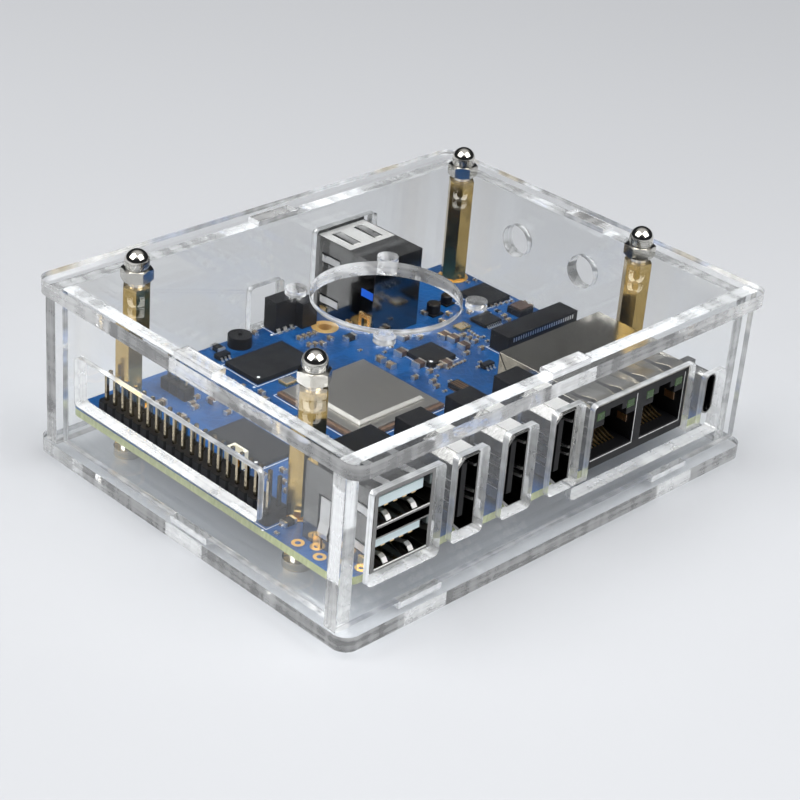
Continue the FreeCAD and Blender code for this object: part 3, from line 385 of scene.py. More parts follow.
def add_block(mesh, low, high):
    """A block between two corners."""
    corners = [mesh.verts.new((x, y, z)) for z in (low[2], high[2]) for y in (low[1], high[1])
               for x in (low[0], high[0])]
    for face in ((0, 2, 3, 1), (4, 5, 7, 6), (0, 1, 5, 4), (2, 6, 7, 3), (0, 4, 6, 2), (1, 3, 7, 5)):
        mesh.faces.new([corners[number] for number in face])


def add_rings(mesh, rings):
    """Skin over closed rings of points laid one above the other, closed at both ends."""
    rows = [[mesh.verts.new(point) for point in ring] for ring in rings]
    for below, above in zip(rows, rows[1:]):
        for number in range(len(below)):
            following = (number + 1) % len(below)
            mesh.faces.new((below[number], below[following], above[following], above[number]))
    mesh.faces.new(rows[0][::-1])
    mesh.faces.new(rows[-1])


def turns(sides):
    """The angles of a circle that is cut into that many sides."""
    return [2.0 * math.pi * side / sides for side in range(sides)]


def add_turned(mesh, centre, profile, sides=28):
    """A turned shape about an upright axis, from (radius, height) pairs going up."""
    add_rings(mesh, [[(centre[0] + radius * math.cos(turn), centre[1] + radius * math.sin(turn), height)
                      for turn in turns(sides)] for radius, height in profile])


def add_washer(mesh, centre, inner, outer, low, high, sides=32):
    """A flat ring."""
    loops = [[mesh.verts.new((centre[0] + radius * math.cos(turn), centre[1] + radius * math.sin(turn), height))
              for turn in turns(sides)]
             for radius, height in ((inner, low), (outer, low), (outer, high), (inner, high))]
    for before, after in zip(loops, loops[1:] + loops[:1]):
        for number in range(sides):
            following = (number + 1) % sides
            mesh.faces.new((before[number], before[following], after[following], after[number]))


def add_strip(mesh, path, across, width, thickness):
    """A bent strip of metal along a path, its width lying along one direction."""
    across = Vector(across).normalized()
    points = [Vector(point) for point in path]
    rings = []
    for number, point in enumerate(points):
        along = points[min(number + 1, len(points) - 1)] - points[max(number - 1, 0)]
        out = along.cross(across).normalized()
        side, rise = across * width / 2, out * thickness / 2
        rings.append([point - side - rise, point + side - rise, point + side + rise, point - side + rise])
    add_rings(mesh, rings)


def add_bar(mesh, start, end, radius, sides=10):
    """A round bar that lies along X from a start point to an end in X."""
    add_rings(mesh, [[(x, start[1] + radius * math.cos(turn), start[2] + radius * math.sin(turn))
                      for turn in turns(sides)] for x in (start[0], end)])


def add_frame(mesh, low, high, margin, width, bottom, top):
    """A thin outline around a footprint."""
    left, right = low[0] - margin, high[0] + margin
    front, rear = low[1] - margin, high[1] + margin
    add_block(mesh, (left - width, front - width, bottom), (right + width, front, top))
    add_block(mesh, (left - width, rear, bottom), (right + width, rear + width, top))
    add_block(mesh, (left - width, front, bottom), (left, rear, top))
    add_block(mesh, (right, front, bottom), (right + width, rear, top))


def make_piece(name, slot, mesh, smooth=False, edge=0.0):
    """A finished piece with its material, riding on the case."""
    bmesh.ops.recalc_face_normals(mesh, faces=mesh.faces)
    data = bpy.data.meshes.new(name)
    mesh.to_mesh(data)
    mesh.free()
    if smooth:
        data.shade_smooth()
        data.set_sharp_from_angle(angle=math.radians(32.0))
    piece = bpy.data.objects.new(name, data)
    bpy.context.scene.collection.objects.link(piece)
    data.materials.append(FINISHES[slot])
    if edge:
        round_edges(piece, edge)
    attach(piece, BODY)
    return piece


# Cap nuts

SCREWS_LOW, SCREWS_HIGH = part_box("bottom_screws")
HEAD_RADIUS = 2.8 * MM
CORNERS = [(x, y) for x in (SCREWS_LOW.x + HEAD_RADIUS, SCREWS_HIGH.x - HEAD_RADIUS)
           for y in (SCREWS_LOW.y + HEAD_RADIUS, SCREWS_HIGH.y - HEAD_RADIUS)]
NUT_FLATS = 5.5 * MM
NUT_HEX = 2.5 * MM
NUT_DOME = 4.8 * MM
NUT_CHAMFER = 0.06 * MM
NUT_WAIST = 0.10 * MM
NUT_STEP = 5
NUT_TURN = math.radians(13.0)
FRONT_LEFT_NUT_TURN = math.radians(34.0)


def nut_ring(centre, turn, reach, level):
    """One level of a hexagon whose corners are cut back by a cone that narrows to the reach."""
    ring = []
    for step in range(0, 360, NUT_STEP):
        angle = math.radians(step)
        off_flat = step % 60 - 30
        radius = NUT_FLATS / 2 / math.cos(math.radians(off_flat))
        radius, height = reach(radius, level)
        ring.append((centre[0] + radius * math.cos(angle + turn),
                     centre[1] + radius * math.sin(angle + turn), height))
    return ring


def make_cap_nuts():
    """Cap nuts with chamfered corners, a waist, a neck and a smooth dome."""
    low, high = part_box("cap_nuts")
    mesh = bmesh.new()
    flat = NUT_FLATS / 2 - NUT_CHAMFER
    slope = math.tan(math.radians(32.0))

    def rim(radius, level):
        return flat, level

    def low_edge(radius, level):
        return radius, level + (radius - flat) * slope

    def high_edge(radius, level):
        return radius, level - (radius - flat) * slope

    for number, (x, y) in enumerate(CORNERS):
        turn = FRONT_LEFT_NUT_TURN if number == 0 else NUT_TURN
        hex_top = low.z + NUT_HEX
        rings = [nut_ring((x, y), turn, rim, low.z), nut_ring((x, y), turn, low_edge, low.z),
                 nut_ring((x, y), turn, high_edge, hex_top), nut_ring((x, y), turn, rim, hex_top)]
        radius = NUT_DOME / 2
        neck_top = high.z - radius
        profile = [(radius + 0.16 * MM, hex_top + 0.01 * MM), (radius - NUT_WAIST, hex_top + 0.16 * MM),
                   (radius - NUT_WAIST, hex_top + 0.42 * MM), (radius, hex_top + 0.52 * MM)]
        profile += [(radius * math.cos(math.radians(angle)), neck_top + radius * math.sin(math.radians(angle)))
                    for angle in range(0, 90, 6)]
        profile.append((0.1 * MM, high.z - 0.005 * MM))
        for wide, level in profile:
            rings.append([(x + wide * math.cos(math.radians(step) + turn),
                           y + wide * math.sin(math.radians(step) + turn), level)
                          for step in range(0, 360, NUT_STEP)])
        add_rings(mesh, rings)
    nuts = make_piece("cap_nuts_turned", "nickel", mesh, smooth=True)
    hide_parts("cap_nuts")


# Copper, ink and solder of the board

def make_pads():
    """Gold rings around the posts, the spare hole and two plated holes at the front left corner."""
    mesh = bmesh.new()
    for centre in CORNERS:
        add_washer(mesh, centre, 1.7 * MM, 3.35 * MM, BOARD_TOP, BOARD_TOP + COPPER)
        add_washer(mesh, centre, 1.7 * MM, 3.35 * MM, BOARD_UNDER - COPPER, BOARD_UNDER)
    add_washer(mesh, SPARE_HOLE, 1.55 * MM, 2.85 * MM, BOARD_TOP, BOARD_TOP + COPPER)
    add_washer(mesh, SPARE_HOLE, 1.55 * MM, 2.85 * MM, BOARD_UNDER - COPPER, BOARD_UNDER)
    add_washer(mesh, SPARE_HOLE, 1.38 * MM, 1.49 * MM, BOARD_UNDER, BOARD_TOP)
    for y in (-25.1 * MM, -30.7 * MM):
        add_washer(mesh, (-47.9 * MM, y), 0.55 * MM, 1.2 * MM, BOARD_TOP, BOARD_TOP + COPPER, 20)
    make_piece("board_pads", "pad_gold", mesh)


def make_ink():
    """Plain white outlines around the larger parts, with a dot at the first corner of each chip."""
    mesh = bmesh.new()
    top = BOARD_TOP + INK
    for name in ("processor_base", "memory_rear", "memory_side", "regulator_chip", "bridge_chip", "cable_socket",
                 "card_socket", "sound_socket", "header_base"):
        low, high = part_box(name)
        add_frame(mesh, low, high, 0.35 * MM, 0.15 * MM, BOARD_TOP, top)
        add_turned(mesh, (low.x - 1.1 * MM, low.y - 0.2 * MM), [(0.3 * MM, BOARD_TOP), (0.3 * MM, top)], 16)
    make_piece("board_ink", "white_ink", mesh)


def make_chip_dots():
    """Small pressed circles that mark the first corner of the moulded chips."""
    mesh = bmesh.new()
    for name in ("memory_rear", "memory_side", "regulator_chip", "bridge_chip"):
        low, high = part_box(name)
        add_turned(mesh, (low.x + 1.0 * MM, low.y + 1.0 * MM),
                   [(0.35 * MM, high.z - INK), (0.35 * MM, high.z + INK)], 20)
    make_piece("chip_dots", "white_ink", mesh)


def make_solder():
    """Solder cones under the board at the header pins and the legs of the sockets."""
    mesh = bmesh.new()
    profile = [(0.3 * MM, BOARD_UNDER - 1.0 * MM), (0.42 * MM, BOARD_UNDER - 0.6 * MM),
               (0.62 * MM, BOARD_UNDER - 0.25 * MM), (0.9 * MM, BOARD_UNDER)]
    low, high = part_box("header_pins")
    for row in range(PIN_ROWS):
        for x in (low.x + PIN_HALF, high.x - PIN_HALF):
            add_turned(mesh, (x, low.y + PIN_HALF + row * PIN_PITCH), profile, 14)
    for name, count in (("bus_shell", 4), ("fast_bus_shell", 4), ("network_shield", 10), ("display_1_core", 3),
                        ("display_2_core", 3), ("display_3_core", 3)):
        low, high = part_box(name)
        for number in range(count):
            x = low.x + (high.x - low.x) * (number + 0.5) / count
            for y in (high.y - 2.5 * MM, high.y - 5.0 * MM) if high.y < 0 else (low.y + 2.5 * MM, low.y + 5.0 * MM):
                add_turned(mesh, (x, y), profile, 14)
    make_piece("solder_joints", "tin", mesh, smooth=True)


# Small parts soldered to the board

# Kinds: length, width, height in millimetres, and the finish of the body
KINDS = {
    "tiny": (1.0, 0.55, 0.35, "ceramic"),
    "small": (1.6, 0.85, 0.75, "ceramic"),
    "large": (2.1, 1.3, 1.1, "ceramic"),
    "flat": (1.6, 0.85, 0.4, "chip_black"),
    "coil": (2.4, 2.0, 1.1, "ferrite"),
    "dark": (2.8, 1.6, 1.0, "chip_black"),
}
# Places on the board in millimetres; the second group of each kind lies along Y
PLACES = {
    "tiny": ([(15.1, 1.9), (16.3, 2.0), (17.5, 2.1), (18.7, 2.1), (19.8, 2.2), (10.8, 1.0), (11.4, -2.1),
              (8.4, -6.4), (7.6, -4.4), (22.1, -0.1), (20.2, -1.4), (30.6, 7.2), (30.0, 5.4),
              (9.4, 14.6), (12.1, 15.4), (20.6, 18.9), (23.4, 17.6), (5.9, 18.2)],
             [(30.3, 10.7), (30.2, 9.7), (30.0, 8.7), (29.9, 7.7), (42.6, 16.0), (43.9, 15.8), (45.2, 15.6),
              (46.5, 15.3), (47.9, 15.1), (46.9, 27.3), (48.9, 27.1), (-23.9, 28.2), (-23.4, 25.8),
              (-22.9, 23.4), (-22.5, 21.1), (-34.2, -8.4), (-31.6, -6.3), (-46.6, -19.2), (-48.9, -20.7)]),
    "small": ([(27.5, 10.0), (27.6, 8.3), (27.6, 6.6), (26.4, 3.7), (10.8, 3.0), (14.0, 3.3), (6.6, 3.0),
               (8.4, -0.3), (7.4, -2.2), (19.6, 14.7), (22.3, 4.0), (40.9, 10.9), (40.2, 9.1), (49.0, 12.6),
               (49.0, 10.8), (-32.1, 22.2), (-31.6, 23.8), (-28.4, 16.9), (-29.4, 25.1)],
              [(35.3, 18.5), (36.4, 16.5), (30.9, 24.6), (34.9, 21.1), (31.3, 19.6), (-34.2, -5.7),
               (-36.7, -9.0), (-38.5, -11.6), (-38.0, -4.9), (-6.5, 36.4), (4.3, 25.4),
               (-0.7, 29.1), (0.6, 29.0), (2.0, 28.9), (3.3, 28.9), (-1.1, 25.6), (0.2, 25.2), (1.5, 24.6),
               (-24.6, -13.0), (-26.9, -13.4), (-21.8, 16.6), (-22.9, 14.2)]),
    "large": ([(18.6, 20.9), (14.9, 21.6), (-37.1, 20.3), (-36.4, 27.2)],
              [(6.0, 9.3), (6.2, 12.4), (-24.2, -3.6), (-24.0, 0.4), (-23.6, 3.9)]),
    "flat": ([(33.2, 6.1), (34.9, 6.0), (36.9, 6.1), (-17.0, -17.6), (-12.9, -17.4), (-6.2, -17.2), (0.4, -17.4)],
             [(41.9, 13.6), (39.6, 14.4), (5.4, -11.6), (5.3, -14.6)]),
    "coil": ([(24.0, 12.0), (24.7, 9.9), (24.2, 6.4), (11.1, 6.4), (15.6, 3.1), (11.5, 12.0), (16.9, 16.7)],
             [(-27.7, 21.8)]),
    "dark": ([(-45.2, -19.5), (7.6, 23.1)], [(-43.3, -13.9), (-17.1, 35.4)]),
}
# The same kinds under the board
UNDER_PLACES = {
    "small": ([(-8.4 + 4.0 * column, 2.8 + 3.0 * row) for column in range(-3, 4) for row in range(-2, 3)], []),
    "large": ([(20.0, 12.0), (24.0, 12.0), (30.0, 20.0)], [(-30.0, 0.0), (-30.0, 4.0)]),
    "coil": ([(16.0, 24.0), (34.0, 8.0)], []),
}


def add_small_part(bodies, ends, kind, place, along_y, surface, up):
    """One chip part: a body between two metal ends, standing on a surface."""
    length, width, height, finish = KINDS[kind]
    half = (width / 2, length / 2) if along_y else (length / 2, width / 2)
    cap = length * 0.2
    levels = sorted((surface, surface + up * height * MM))
    inner = (half[0], half[1] - cap) if along_y else (half[0] - cap, half[1])
    body = bodies[finish]
    add_block(body, ((place[0] - inner[0]) * MM, (place[1] - inner[1]) * MM, levels[0]),
              ((place[0] + inner[0]) * MM, (place[1] + inner[1]) * MM, levels[1]))
    swell = 0.03
    levels[1] += swell * MM * (up > 0)
    levels[0] -= swell * MM * (up < 0)
    for side in (-1, 1):
        if along_y:
            near, far = sorted((place[1] + side * inner[1], place[1] + side * half[1]))
            low, high = (place[0] - half[0] - swell, near), (place[0] + half[0] + swell, far)
        else:
            near, far = sorted((place[0] + side * inner[0], place[0] + side * half[0]))
            low, high = (near, place[1] - half[1] - swell), (far, place[1] + half[1] + swell)
        add_block(ends, (low[0] * MM, low[1] * MM, levels[0]), (high[0] * MM, high[1] * MM, levels[1]))


def make_small_parts():
    """All chip parts of both sides, one piece for each finish."""
    bodies = {finish: bmesh.new() for finish in ("ceramic", "chip_black", "ferrite")}
    ends = bmesh.new()
    for places, surface, up in ((PLACES, BOARD_TOP, 1), (UNDER_PLACES, BOARD_UNDER, -1)):
        for kind, groups in places.items():
            for along_y, group in enumerate(groups):
                for place in group:
                    add_small_part(bodies, ends, kind, place, along_y, surface, up)
    for finish, mesh in bodies.items():
        make_piece("small_parts_" + finish, finish, mesh, edge=0.06 * MM)
    make_piece("small_part_ends", "tin", ends, edge=0.05 * MM)


def make_big_coil():
    """A square coil: a dark body under a brown cap."""
    x, y = 45.5 * MM, 10.5 * MM
    body, cap = bmesh.new(), bmesh.new()
    add_block(body, (x - 2.1 * MM, y - 1.9 * MM, BOARD_TOP), (x + 2.1 * MM, y + 1.9 * MM, BOARD_TOP + 1.5 * MM))
    add_block(cap, (x - 1.8 * MM, y - 1.6 * MM, BOARD_TOP + 1.5 * MM),
              (x + 1.8 * MM, y + 1.6 * MM, BOARD_TOP + 1.9 * MM))
    make_piece("big_coil_body", "chip_black", body, edge=0.12 * MM)
    make_piece("big_coil_cap", "ferrite", cap, edge=0.12 * MM)


def make_legged_chip(name, centre, width, depth, height, legs, pitch):
    """A small moulded chip with bent legs along two sides."""
    body, wires = bmesh.new(), bmesh.new()
    x, y = centre[0] * MM, centre[1] * MM
    half = (width / 2 * MM, depth / 2 * MM)
    add_block(body, (x - half[0], y - half[1], BOARD_TOP + 0.1 * MM),
              (x + half[0], y + half[1], BOARD_TOP + height * MM))
    for side in (-1, 1):
        for number in range(legs):
            across = x + (number - (legs - 1) / 2) * pitch * MM
            edge = y + side * half[1]
            add_strip(wires, [(across, edge - side * 0.1 * MM, BOARD_TOP + height * 0.55 * MM),
                              (across, edge + side * 0.25 * MM, BOARD_TOP + height * 0.5 * MM),
                              (across, edge + side * 0.35 * MM, BOARD_TOP + 0.12 * MM),
                              (across, edge + side * 0.8 * MM, BOARD_TOP + 0.06 * MM)],
                      (1.0, 0.0, 0.0), pitch * 0.45 * MM, 0.12 * MM)
    make_piece(name, "chip_black", body, edge=0.08 * MM)
    make_piece(name + "_legs", "tin", wires)


def make_small_chips():
    """The chips that are too small for a part of their own."""
    make_legged_chip("flash_chip", (36.4, 11.9), 5.0, 4.4, 0.9, 8, 0.55)
    make_legged_chip("switch_chip", (-18.4, 32.5), 3.0, 1.6, 1.1, 3, 0.95)
    make_legged_chip("guard_chip", (22.0, -2.2), 2.9, 1.4, 1.0, 3, 0.95)
    make_legged_chip("port_chip", (-27.2, -18.6), 3.0, 3.0, 0.9, 5, 0.5)


def make_crystals():
    """Two frequency crystals: a gold rim under a bright lid."""
    rims, lids = bmesh.new(), bmesh.new()
    for x, y in ((30.3, 12.9), (-14.6, 16.9)):
        add_block(rims, ((x - 1.6) * MM, (y - 1.25) * MM, BOARD_TOP),
                  ((x + 1.6) * MM, (y + 1.25) * MM, BOARD_TOP + 0.6 * MM))
        add_block(lids, ((x - 1.35) * MM, (y - 1.0) * MM, BOARD_TOP + 0.58 * MM),
                  ((x + 1.35) * MM, (y + 1.0) * MM, BOARD_TOP + 0.75 * MM))
    make_piece("crystal_rims", "gold_plate", rims, edge=0.06 * MM)
    make_piece("crystal_lids", "tin", lids, edge=0.06 * MM)


def make_cans():
    """Two small round capacitors on square feet."""
    cans, feet = bmesh.new(), bmesh.new()
    for x, y, radius, height in ((32.8, 23.8, 1.5, 2.6), (38.5, 25.5, 1.25, 2.2)):
        add_turned(cans, (x * MM, y * MM),
                   [(radius * 0.9 * MM, BOARD_TOP + 0.3 * MM), (radius * MM, BOARD_TOP + 0.45 * MM),
                    (radius * MM, BOARD_TOP + (height - 0.2) * MM), (radius * 0.86 * MM, BOARD_TOP + height * MM)])
        side = radius * 1.08
        add_block(feet, ((x - side) * MM, (y - side) * MM, BOARD_TOP),
                  ((x + side) * MM, (y + side) * MM, BOARD_TOP + 0.4 * MM))
    make_piece("round_cans", "black_plastic", cans, smooth=True)
    make_piece("round_can_feet", "black_plastic", feet, edge=0.1 * MM)


def make_flat_socket():
    """A flat ribbon socket with a row of copper contacts, beside the processor."""
    body, contacts = bmesh.new(), bmesh.new()
    add_block(body, (9.6 * MM, -9.6 * MM, BOARD_TOP), (12.4 * MM, -3.2 * MM, BOARD_TOP + 0.9 * MM))
    for number in range(11):
        y = (-8.9 + 0.5 * number) * MM
        add_block(contacts, (9.2 * MM, y, BOARD_TOP + 0.02 * MM), (12.8 * MM, y + 0.24 * MM, BOARD_TOP + 0.12 * MM))
        add_block(contacts, (9.9 * MM, y, BOARD_TOP + 0.88 * MM), (12.1 * MM, y + 0.24 * MM, BOARD_TOP + 0.96 * MM))
    make_piece("ribbon_socket", "chip_black", body, edge=0.06 * MM)
    make_piece("ribbon_contacts", "copper", contacts)


# Details of the sockets

FRONT, REAR = -1, 1
BUS_HALF = 6.7 * MM
BUS_MOUTH_HALF = 6.3 * MM
BUS_FLOORS = (BOARD_TOP + SHELL, BOARD_TOP + 9.05 * MM)
BUS_SPRING_PLACE = 3.1 * MM
BUS_SIDE_SPRINGS = (BOARD_TOP + 3.9 * MM, BOARD_TOP + 11.4 * MM)


def make_bus_details(prefix, aim):
    """Springs and a bright tin lip in each opening, a painted highlight for the lit edge of the shell; black patches
    of painted shade for the spring slot holes in the top and the sides; and the feet.
    """
    low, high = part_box(prefix + "_shell")
    mouth = low.y if aim == FRONT else high.y
    middle = (low.x + high.x) / 2
    outer = (middle - BUS_HALF, middle + BUS_HALF)

    def behind(depth):
        """The place that many millimetres behind the mouth."""
        return mouth - aim * depth * MM

    springs, slot_shade, lip_highlights = bmesh.new(), bmesh.new(), bmesh.new()
    for floor in BUS_FLOORS:
        # A bright tin bar along the edge of each floor: painted highlight of the lit edge of the shell.
        add_bar(lip_highlights, (middle - BUS_MOUTH_HALF, behind(0.12), floor + 0.08 * MM), middle + BUS_MOUTH_HALF, 0.15 * MM)
        for side in (-1, 1):
            x = middle + side * BUS_SPRING_PLACE
            add_strip(springs, [(x, behind(0.5), floor + 0.15 * MM), (x, behind(1.1), floor + 0.9 * MM),
                                (x, behind(1.9), floor + 1.25 * MM), (x, behind(2.9), floor + 0.95 * MM),
                                (x, behind(6.0), floor + 0.15 * MM)],
                      (1.0, 0.0, 0.0), 1.15 * MM, 0.2 * MM)
    near, far = sorted((behind(2.6), behind(8.2)))
    # Black patches of painted shade for the spring slot holes in each side, with a spring in each.
    for side, wall in zip((-1, 1), outer):
        for z in BUS_SIDE_SPRINGS:
            faces = sorted((wall, wall + side * SHADE_FILM))
            add_block(slot_shade, (faces[0], near, z - 1.1 * MM), (faces[1], far, z + 1.1 * MM))
            add_strip(springs, [(wall + side * 0.05 * MM, behind(8.2), z), (wall + side * 0.08 * MM, behind(5.2), z),
                                (wall + side * 0.28 * MM, behind(3.6), z), (wall + side * 0.12 * MM, behind(2.9), z)],
                      (0.0, 0.0, 1.0), 1.5 * MM, 0.14 * MM)
    top = high.z - 0.45 * MM
    # Over the top of the rear sockets, a thin pale tin sheet in the same piece.
    if aim == REAR:
        near, far = sorted((behind(0.9), behind(10.5)))
        add_block(lip_highlights, (outer[0] + 0.3 * MM, near, top), (outer[1] - 0.3 * MM, far, top + 0.01 * MM))
    # Black patches of painted shade for the spring slot holes in the top.
    near, far = sorted((behind(2.6), behind(9.0)))
    for side in (-1, 1):
        x = middle + side * BUS_SPRING_PLACE
        add_block(slot_shade, (x - 1.2 * MM, near, top), (x + 1.2 * MM, far, top + SHADE_FILM))
        add_strip(springs, [(x, behind(9.0), top + 0.05 * MM), (x, behind(5.2), top + 0.08 * MM),
                            (x, behind(3.6), top + 0.28 * MM), (x, behind(2.9), top + 0.12 * MM)],
                  (1.0, 0.0, 0.0), 1.6 * MM, 0.14 * MM)
    make_piece(prefix + "_springs", "tin", springs)
    make_piece(prefix + "_lips", "satin_tin_painted_highlight" if aim == REAR else "tin", lip_highlights, smooth=True)
    make_piece(prefix + "_slots", "black_plastic", slot_shade)
    feet = bmesh.new()
    for side, wall in zip((-1, 1), outer):
        for depth in (4.0, 12.0):
            y = behind(depth)
            faces = sorted((wall, wall + side * 0.3 * MM))
            add_block(feet, (faces[0], y - 0.9 * MM, BOARD_TOP - 1.2 * MM),
                      (faces[1], y + 0.9 * MM, BOARD_TOP + 2.2 * MM))
            add_washer(feet, (wall + side * 0.2 * MM, y), 0.5 * MM, 1.25 * MM, BOARD_TOP, BOARD_TOP + COPPER, 20)
    make_piece(prefix + "_feet", "gold_plate", feet, edge=0.05 * MM)


def make_display_details(number):
    """Black patches of painted shade for the spring slot holes in the sides, contact springs inside, and a pale tin
    top with a raised step on a display socket, its paleness a painted highlight for the lamp's reflection on the
    shell's top.
    """
    low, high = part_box(f"display_{number}_shell")
    springs, slot_shade, painted_highlight_tops = bmesh.new(), bmesh.new(), bmesh.new()
    # Black patches of painted shade in the spring slot holes, and a tin rim under each.
    for wall, side in ((low.x, -1), (high.x, 1)):
        for height in (4.6, 6.6, 9.0, 11.0):
            z = BOARD_TOP + height * MM
            faces = sorted((wall, wall + side * SHADE_FILM))
            add_block(slot_shade, (faces[0], low.y + 3.0 * MM, z - 0.32 * MM), (faces[1], low.y + 9.6 * MM, z + 0.32 * MM))
            rim = sorted((wall, wall + side * 0.07 * MM))
            add_block(springs, (rim[0], low.y + 3.0 * MM, z - 0.46 * MM), (rim[1], low.y + 9.6 * MM, z - 0.30 * MM))
    inner = high.x - SHELL
    for height in (5.4, 7.0, 12.4):
        z = BOARD_TOP + height * MM
        add_strip(springs, [(inner - 0.08 * MM, low.y + 0.5 * MM, z), (inner - 0.42 * MM, low.y + 1.8 * MM, z),
                            (inner - 0.12 * MM, low.y + 4.6 * MM, z)], (0.0, 0.0, 1.0), 0.5 * MM, 0.12 * MM)
    # Pale rough tin top and raised step: the step is real, the paleness a painted highlight for the lamp's
    # reflection.
    left = low.x + 1.75 * MM
    add_block(painted_highlight_tops, (left, low.y + 0.6 * MM, high.z), (high.x - 0.1 * MM, low.y + 9.2 * MM, high.z + 0.12 * MM))
    add_block(painted_highlight_tops, (left, low.y + 9.2 * MM, high.z), (high.x - 0.1 * MM, low.y + 10.4 * MM, high.z + 0.55 * MM))
    make_piece(f"display_{number}_springs", "tin", springs)
    make_piece(f"display_{number}_slots", "black_plastic", slot_shade)
    make_piece(f"display_{number}_cap", "satin_tin_painted_highlight", painted_highlight_tops, edge=0.1 * MM)


def make_network_details():
    """Bent springs on top with black patches of painted shade for the slot holes around them, a black line of painted
    shade along the fold of each side, bright tin bars along the edges of the jacks that are painted highlights of the
    lit housing edges, a tab and bright contact ends inside.
    """
    low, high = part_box("network_shield")
    contacts_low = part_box("network_contacts")[0]
    pitch = 14.3 * MM
    middle = (low.x + high.x) / 2
    springs, jack_edge_highlights, tabs, ends, slot_and_fold_shade = (bmesh.new() for _ in range(5))
    top = high.z
    for number in range(4):
        x = low.x + (high.x - low.x) * (number + 0.5) / 4
        # A black patch of painted shade for the slot hole around each spring.
        add_block(slot_and_fold_shade, (x - 2.4 * MM, low.y + 0.8 * MM, top), (x + 2.4 * MM, low.y + 9.4 * MM, top + SHADE_FILM))
        add_strip(springs, [(x, low.y + 9.6 * MM, top + 0.08 * MM), (x, low.y + 6.6 * MM, top + 0.25 * MM),
                            (x, low.y + 4.2 * MM, top + 0.85 * MM), (x, low.y + 2.8 * MM, top + 1.1 * MM),
                            (x, low.y + 1.6 * MM, top + 0.75 * MM), (x, low.y + 0.7 * MM, top + 0.12 * MM)],
                  (1.0, 0.0, 0.0), 3.6 * MM, 0.16 * MM)
    line = 0.16 * MM
    half = 6.0 * MM
    bottom, ceiling = BOARD_TOP + 1.8 * MM, top - 1.0 * MM
    front = contacts_low.y
    for side in (-1, 1):
        x = middle + side * pitch / 2
        # Bright tin bars along the bottom and one side of each jack: painted highlights of the lit edges of the black
        # housing.
        add_bar(jack_edge_highlights, (x - half, low.y + 0.05 * MM, bottom), x + half, 0.14 * MM)
        add_block(jack_edge_highlights, (x + half - line / 2, low.y - 0.03 * MM, bottom),
                  (x + half + line / 2, low.y + 0.2 * MM, ceiling))
        wall = x + 5.9 * MM
        add_block(tabs, (wall - 0.25 * MM, low.y + 1.6 * MM, BOARD_TOP + 5.6 * MM),
                  (wall, low.y + 4.0 * MM, BOARD_TOP + 7.2 * MM))
        for number in range(8):
            across = x + (number - 3.5) * 1.02 * MM
            add_strip(ends, [(across, front - 0.9 * MM, contacts_low.z + 0.22 * MM),
                             (across, front + 0.2 * MM, contacts_low.z + 0.42 * MM),
                             (across, front + 2.6 * MM, contacts_low.z + 1.5 * MM)],
                      (1.0, 0.0, 0.0), 0.5 * MM, 0.14 * MM)
    # A black line of painted shade along the fold of each side.
    for wall, side in ((low.x, -1), (high.x, 1)):
        add_strip(slot_and_fold_shade, [(wall + side * 0.03 * MM, high.y - 0.1 * MM, top - 0.2 * MM),
                          (wall + side * 0.03 * MM, high.y - 5.2 * MM, BOARD_TOP + 6.2 * MM)],
                  (0.0, 0.8, -0.6), 0.16 * MM, 0.05 * MM)
    make_piece("network_springs", "shield_metal", springs)
    make_piece("network_frames", "tin", jack_edge_highlights)
    make_piece("network_tabs", "copper", tabs, edge=0.05 * MM)
    make_piece("network_contact_ends", "gold_plate", ends)
    make_piece("network_folds", "black_plastic", slot_and_fold_shade)


def make_fast_bus_side():
    """The slot in the side of the fast bus sockets that shows the blue core, and the plated foot below it."""
    low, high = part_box("fast_bus_shell")
    wall = (low.x + high.x) / 2 - BUS_HALF
    core, foot = bmesh.new(), bmesh.new()
    add_block(core, (wall - 0.04 * MM, low.y + 0.15 * MM, BOARD_TOP + 9.2 * MM),
              (wall, low.y + 3.6 * MM, BOARD_TOP + 10.9 * MM))
    for start in (0.1, 2.6):
        add_block(foot, (wall - 0.35 * MM, low.y + start * MM, BOARD_TOP),
                  (wall, low.y + (start + 1.0) * MM, BOARD_TOP + 5.6 * MM))
    add_block(foot, (wall - 0.35 * MM, low.y + 1.1 * MM, BOARD_TOP + 4.6 * MM),
              (wall, low.y + 2.6 * MM, BOARD_TOP + 5.6 * MM))
    make_piece("fast_bus_side_core", "blue_plastic", core)
    make_piece("fast_bus_side_foot", "gold_plate", foot, edge=0.06 * MM)


